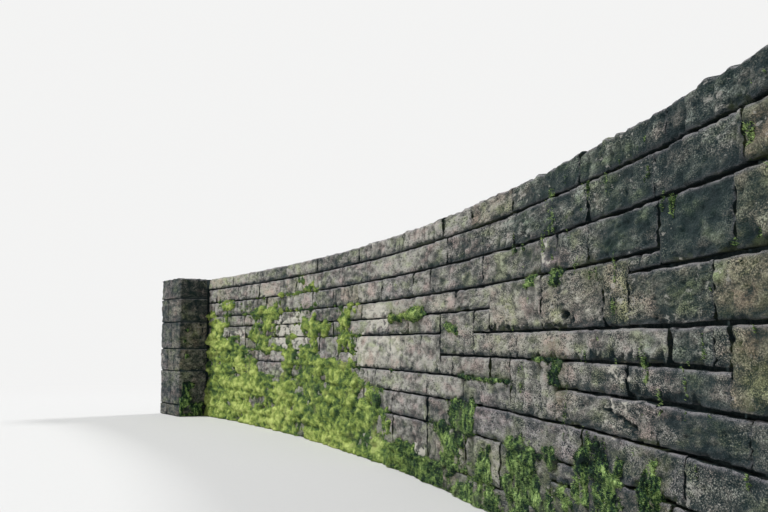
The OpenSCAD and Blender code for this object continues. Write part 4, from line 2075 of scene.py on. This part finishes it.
@dataclass
class MossCarpet:
    """Moss in low relief, with small tufts that stand up out of it."""

    plan: WallPlan
    moss: MossMap
    material: bpy.types.Material
    mats: tuple[Mat, ...]
    root_depth: float = 0.020
    mean_face: float = 0.0065
    most_sunk: float = 0.008
    rim_depth: float = 0.007
    lowest: float = 0.001
    # Runs over which the moss goes from painted shade to painted light.
    sunny: tuple[float, float] = (2.0, 4.4)
    tuft_length: tuple[float, float] = (0.004, 0.011)
    tuft_radius: float = 0.0014
    tuft_root: float = 0.0015
    tuft_lean: float = 0.45
    tuft_margin: float = 0.002
    fringe: float = 0.42

    def build(self) -> None:
        """Makes the pieces of all mats."""
        for mat in self.mats:
            shells = self._shells(mat)
            if not shells:
                continue
            piece = joined(mat.name, shells, self.material)
            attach(piece, "root")
            LOG.info("%s: %d faces", piece.name, len(piece.data.polygons))

    def _shells(self, mat: Mat) -> list[Shell]:
        """Builds the moss of one mat.

        Args:
            mat: Mat in question.

        Returns:
            The carpet and its tufts, or nothing where nothing grows.
        """
        runs = np.linspace(mat.near, mat.far, round((mat.far - mat.near) / mat.cell) + 1)
        levels = np.linspace(self.lowest, mat.top, round(mat.top / mat.cell) + 1)
        run, level = np.meshgrid(runs, levels, indexing="ij")
        thickness = self.moss.thickness(run.ravel(), level.ravel()).reshape(run.shape)
        alive = self._cells_with(thickness > 0)
        if not alive.any():
            return []
        count = len(levels)
        column, row = np.nonzero(alive)
        corner = column * count + row
        outer = np.stack([corner, corner + count, corner + count + 1, corner + 1], axis=-1)
        used, numbers = np.unique(outer, return_inverse=True)
        top = numbers.reshape(outer.shape)
        size = len(used)
        rim = self._rim(top)
        sides = np.stack([rim[:, 1], rim[:, 0], rim[:, 0] + size, rim[:, 1] + size], axis=-1)
        flat_run, flat_level = run.ravel()[used], level.ravel()[used]
        thick = thickness.ravel()[used]
        front = self.mean_face - np.clip(thick, -self.most_sunk, None)
        sunk = np.isin(np.arange(size), rim) & (thick <= 0)
        front = np.where(sunk, np.maximum(front, self.mean_face + self.rim_depth), front)
        both = [
            self.plan.place(mat.face, flat_run, flat_level, depth)
            for depth in (front, np.full(size, self.root_depth))
        ]
        shade = np.zeros(size)
        traits = {
            "crown": np.concatenate([np.clip(thick / self.moss.thickest, 0, 1.2), shade]),
            "sun": np.concatenate([ramp(flat_run, *self.sunny), shade]),
        }
        faces = np.concatenate([top, top[:, ::-1] + size, sides])
        carpet = Shell(np.concatenate(both), faces, [], traits).turned_out()
        return [carpet, self._tufts(mat, run.ravel(), level.ravel(), thickness.ravel())]

    def _tufts(self, mat: Mat, run: Array, level: Array, thick: Array) -> Shell:
        """Scatters small three-sided tufts over the moss and on the stone round its edges.

        Args:
            mat: Mat that carries them.
            run: Runs of all points of the grid.
            level: Levels of the points.
            thick: Thickness of the moss at the points, negative on bare stone.

        Returns:
            All tufts, each closed.
        """
        rng = np.random.default_rng(len(run))
        fringe = self.moss.thickest * self.fringe
        settled = np.nonzero(thick > -fringe)[0]
        chosen = settled[rng.integers(0, len(settled), mat.tufts)]
        jitter = rng.uniform(-0.5, 0.5, (mat.tufts, 2)) * mat.cell
        margin = self.tuft_margin
        at_run = np.clip(run[chosen] + jitter[:, 0], mat.near + margin, mat.far - margin)
        at_level = np.clip(level[chosen] + jitter[:, 1], self.tuft_length[0], mat.top)
        grown = self.moss.thickness(at_run, at_level)
        depth = self.mean_face - np.clip(grown, 0, None)
        length = rng.uniform(*self.tuft_length, mat.tufts) * (0.55 + 0.45 * ramp(grown, -fringe, fringe))
        turn = rng.uniform(0, math.tau, mat.tufts)
        lean = rng.normal(0, self.tuft_lean, (mat.tufts, 2)) * length[:, None]
        points = []
        for corner in range(3):
            angle = turn + corner * math.tau / 3
            out_run = at_run + np.cos(angle) * self.tuft_radius
            out_level = np.clip(at_level + np.sin(angle) * self.tuft_radius, self.lowest, None)
            points.append(self.plan.place(mat.face, out_run, out_level, depth + self.tuft_root))
        tip_level = np.clip(at_level + lean[:, 1] + length * 0.35, self.lowest, None)
        points.append(self.plan.place(mat.face, at_run + lean[:, 0], tip_level, depth - length * 0.75))
        numbers = np.arange(mat.tufts)
        base, after, last, tip = (numbers + corner * mat.tufts for corner in range(4))
        sides = ((after, base, last), (base, after, tip), (after, last, tip), (last, base, tip))
        caps = np.concatenate([np.stack(side, axis=-1) for side in sides]).tolist()
        # Tufts are brighter at the tip than at the root: partly paler young growth, partly painted light.
        bright = rng.uniform(0.3, 2.2, mat.tufts)
        traits = {
            "crown": np.concatenate([np.tile(bright * 0.5, 3), bright + 0.3]),
            "sun": np.tile(ramp(at_run, *self.sunny), 4),
        }
        return Shell(np.concatenate(points), np.zeros((0, 4), int), caps, traits).turned_out()

    @staticmethod
    def _cells_with(growing: Array) -> Array:
        """Picks the cells that the moss takes up.

        Args:
            growing: True for each grid point that is covered.

        Returns:
            True for each cell with a covered corner, with no two cells that meet only at a corner.
        """
        taken = growing[:-1, :-1] | growing[1:, :-1] | growing[:-1, 1:] | growing[1:, 1:]
        for _ in range(8):
            a, b, c, d = taken[:-1, :-1], taken[1:, :-1], taken[:-1, 1:], taken[1:, 1:]
            touching = (a & d & ~b & ~c) | (b & c & ~a & ~d)
            if not touching.any():
                break
            taken[:-1, :-1] |= touching
            taken[1:, :-1] |= touching
            taken[:-1, 1:] |= touching
            taken[1:, 1:] |= touching
        return taken

    @staticmethod
    def _rim(faces: Array) -> Array:
        """Edges that belong to one face only.

        Args:
            faces: Faces with four corners.

        Returns:
            The edges, in the direction of their face.
        """
        edges = np.concatenate([faces[:, [i, (i + 1) % 4]] for i in range(4)])
        ordered = np.sort(edges, axis=1)
        _, inverse, counts = np.unique(ordered, axis=0, return_inverse=True, return_counts=True)
        return edges[counts[inverse.ravel()] == 1]


def heading_up(heading: tuple[float, float], elevation: float) -> Vector:
    """Direction with a heading on plan, raised by an angle in degrees."""
    rise = math.radians(elevation)
    return Vector((*heading, 0)).normalized() * math.cos(rise) + Vector((0, 0, math.sin(rise)))


def stand(item: bpy.types.Object, place: Sequence[float], ahead: Vector) -> None:
    """Puts a lamp or a camera into the scene.

    Args:
        item: The lamp or camera.
        place: Where it stands.
        ahead: Direction in which it points.
    """
    item.location = place
    item.rotation_mode = "QUATERNION"
    item.rotation_quaternion = ahead.to_track_quat("-Z", "Y")
    bpy.context.scene.collection.objects.link(item)


@dataclass(frozen=True)
class Lamp:
    """One large, soft and distant lamp, with its strength in watts to the square metre."""

    name: str
    heading: tuple[float, float]
    elevation: float
    strength: float
    spread: float = 12.0
    distance: float = 12.0

    def build(self) -> None:
        """Hangs the lamp."""
        light = bpy.data.lights.new(self.name, "SUN")
        light.energy = self.strength
        light.angle = math.radians(self.spread)
        towards = heading_up(self.heading, self.elevation)
        lamp = bpy.data.objects.new(self.name, light)
        lamp.visible_camera = False
        stand(lamp, towards * self.distance, -towards)


@dataclass(frozen=True)
class Studio:
    """Pale floor, soft lamps and the camera."""

    floor_size: float = 80.0
    floor_drop: float = 0.0005
    background: Colour = (0.90, 0.90, 0.895)
    sky: Colour = (0.93, 0.97, 1.0)
    sky_strength: float = 0.32
    lamps: tuple[Lamp, ...] = (
        Lamp("key_lamp", (-0.28, -1.0), 52.0, 3.2),
        Lamp("back_lamp", (-0.5, 1.0), 42.0, 1.5),
    )
    camera_place: tuple[float, float, float] = (4.6811, -1.1372, 0.5324)
    camera_heading: tuple[float, float] = (-0.96092, 0.27684)
    camera_pitch: float = 4.632
    focal_length: float = 50.0
    sensor_width: float = 36.0
    clip: tuple[float, float] = (0.02, 200.0)

    def build_floor(self) -> None:
        """Lays the floor."""
        half = self.floor_size / 2
        corners = [(-half, -half, 0), (half, -half, 0), (half, half, 0), (-half, half, 0)]
        mesh = bpy.data.meshes.new("floor")
        mesh.from_pydata(corners, [], [(0, 1, 2, 3)])
        mesh.materials.append(FloorFinish(self.background).material())
        floor = bpy.data.objects.new("floor", mesh)
        floor.location.z = -self.floor_drop
        bpy.context.scene.collection.objects.link(floor)

    def build_world(self) -> None:
        """Sets the even light from all round, and the background that the camera sees."""
        world = bpy.data.worlds.new("studio")
        bpy.context.scene.world = world
        world.use_nodes = True
        nodes = Nodes(world.node_tree)
        sky = {"Color": (*self.sky, 1.0), "Strength": self.sky_strength}
        light = nodes.add("ShaderNodeBackground", {}, sky)
        backdrop = nodes.add("ShaderNodeBackground", {}, {"Color": (*self.background, 1.0)})
        nodes.add("ShaderNodeOutputWorld", {}, {"Surface": nodes.blend(nodes.seen(), light, backdrop)})

    def build_camera(self) -> None:
        """Stands the camera close to the front face, near the free end."""
        camera = bpy.data.objects.new("camera", bpy.data.cameras.new("camera"))
        camera.data.lens = self.focal_length
        camera.data.sensor_width = self.sensor_width
        camera.data.clip_start, camera.data.clip_end = self.clip
        stand(camera, self.camera_place, heading_up(self.camera_heading, self.camera_pitch))
        bpy.context.scene.camera = camera

    def build(self) -> None:
        """Makes the whole studio."""
        self.build_floor()
        self.build_world()
        for lamp in self.lamps:
            lamp.build()
        self.build_camera()
        bpy.context.scene.view_settings.view_transform = "Standard"


def main() -> None:
    """Builds the stones, the mortar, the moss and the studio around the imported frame."""
    logging.basicConfig(level=logging.INFO, format="%(message)s")
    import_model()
    plan = WallPlan()
    masonry = Masonry(plan, StoneCutter(MOSS, FLAKING, SOILING_AND_PAINTED_SHADE, FILMING), StoneFinish().material())
    Bays(masonry).build()
    Pier(masonry).build()
    MortarCore(plan, MortarFinish().material()).build()
    moss = MossFinish().material()
    MossCarpet(plan, MOSS, moss, mats_of_bays(plan)).build()
    MossCarpet(plan, PIER_MOSS, moss, PIER_MATS).build()
    Studio().build()


if __name__ == "__main__":
    main()
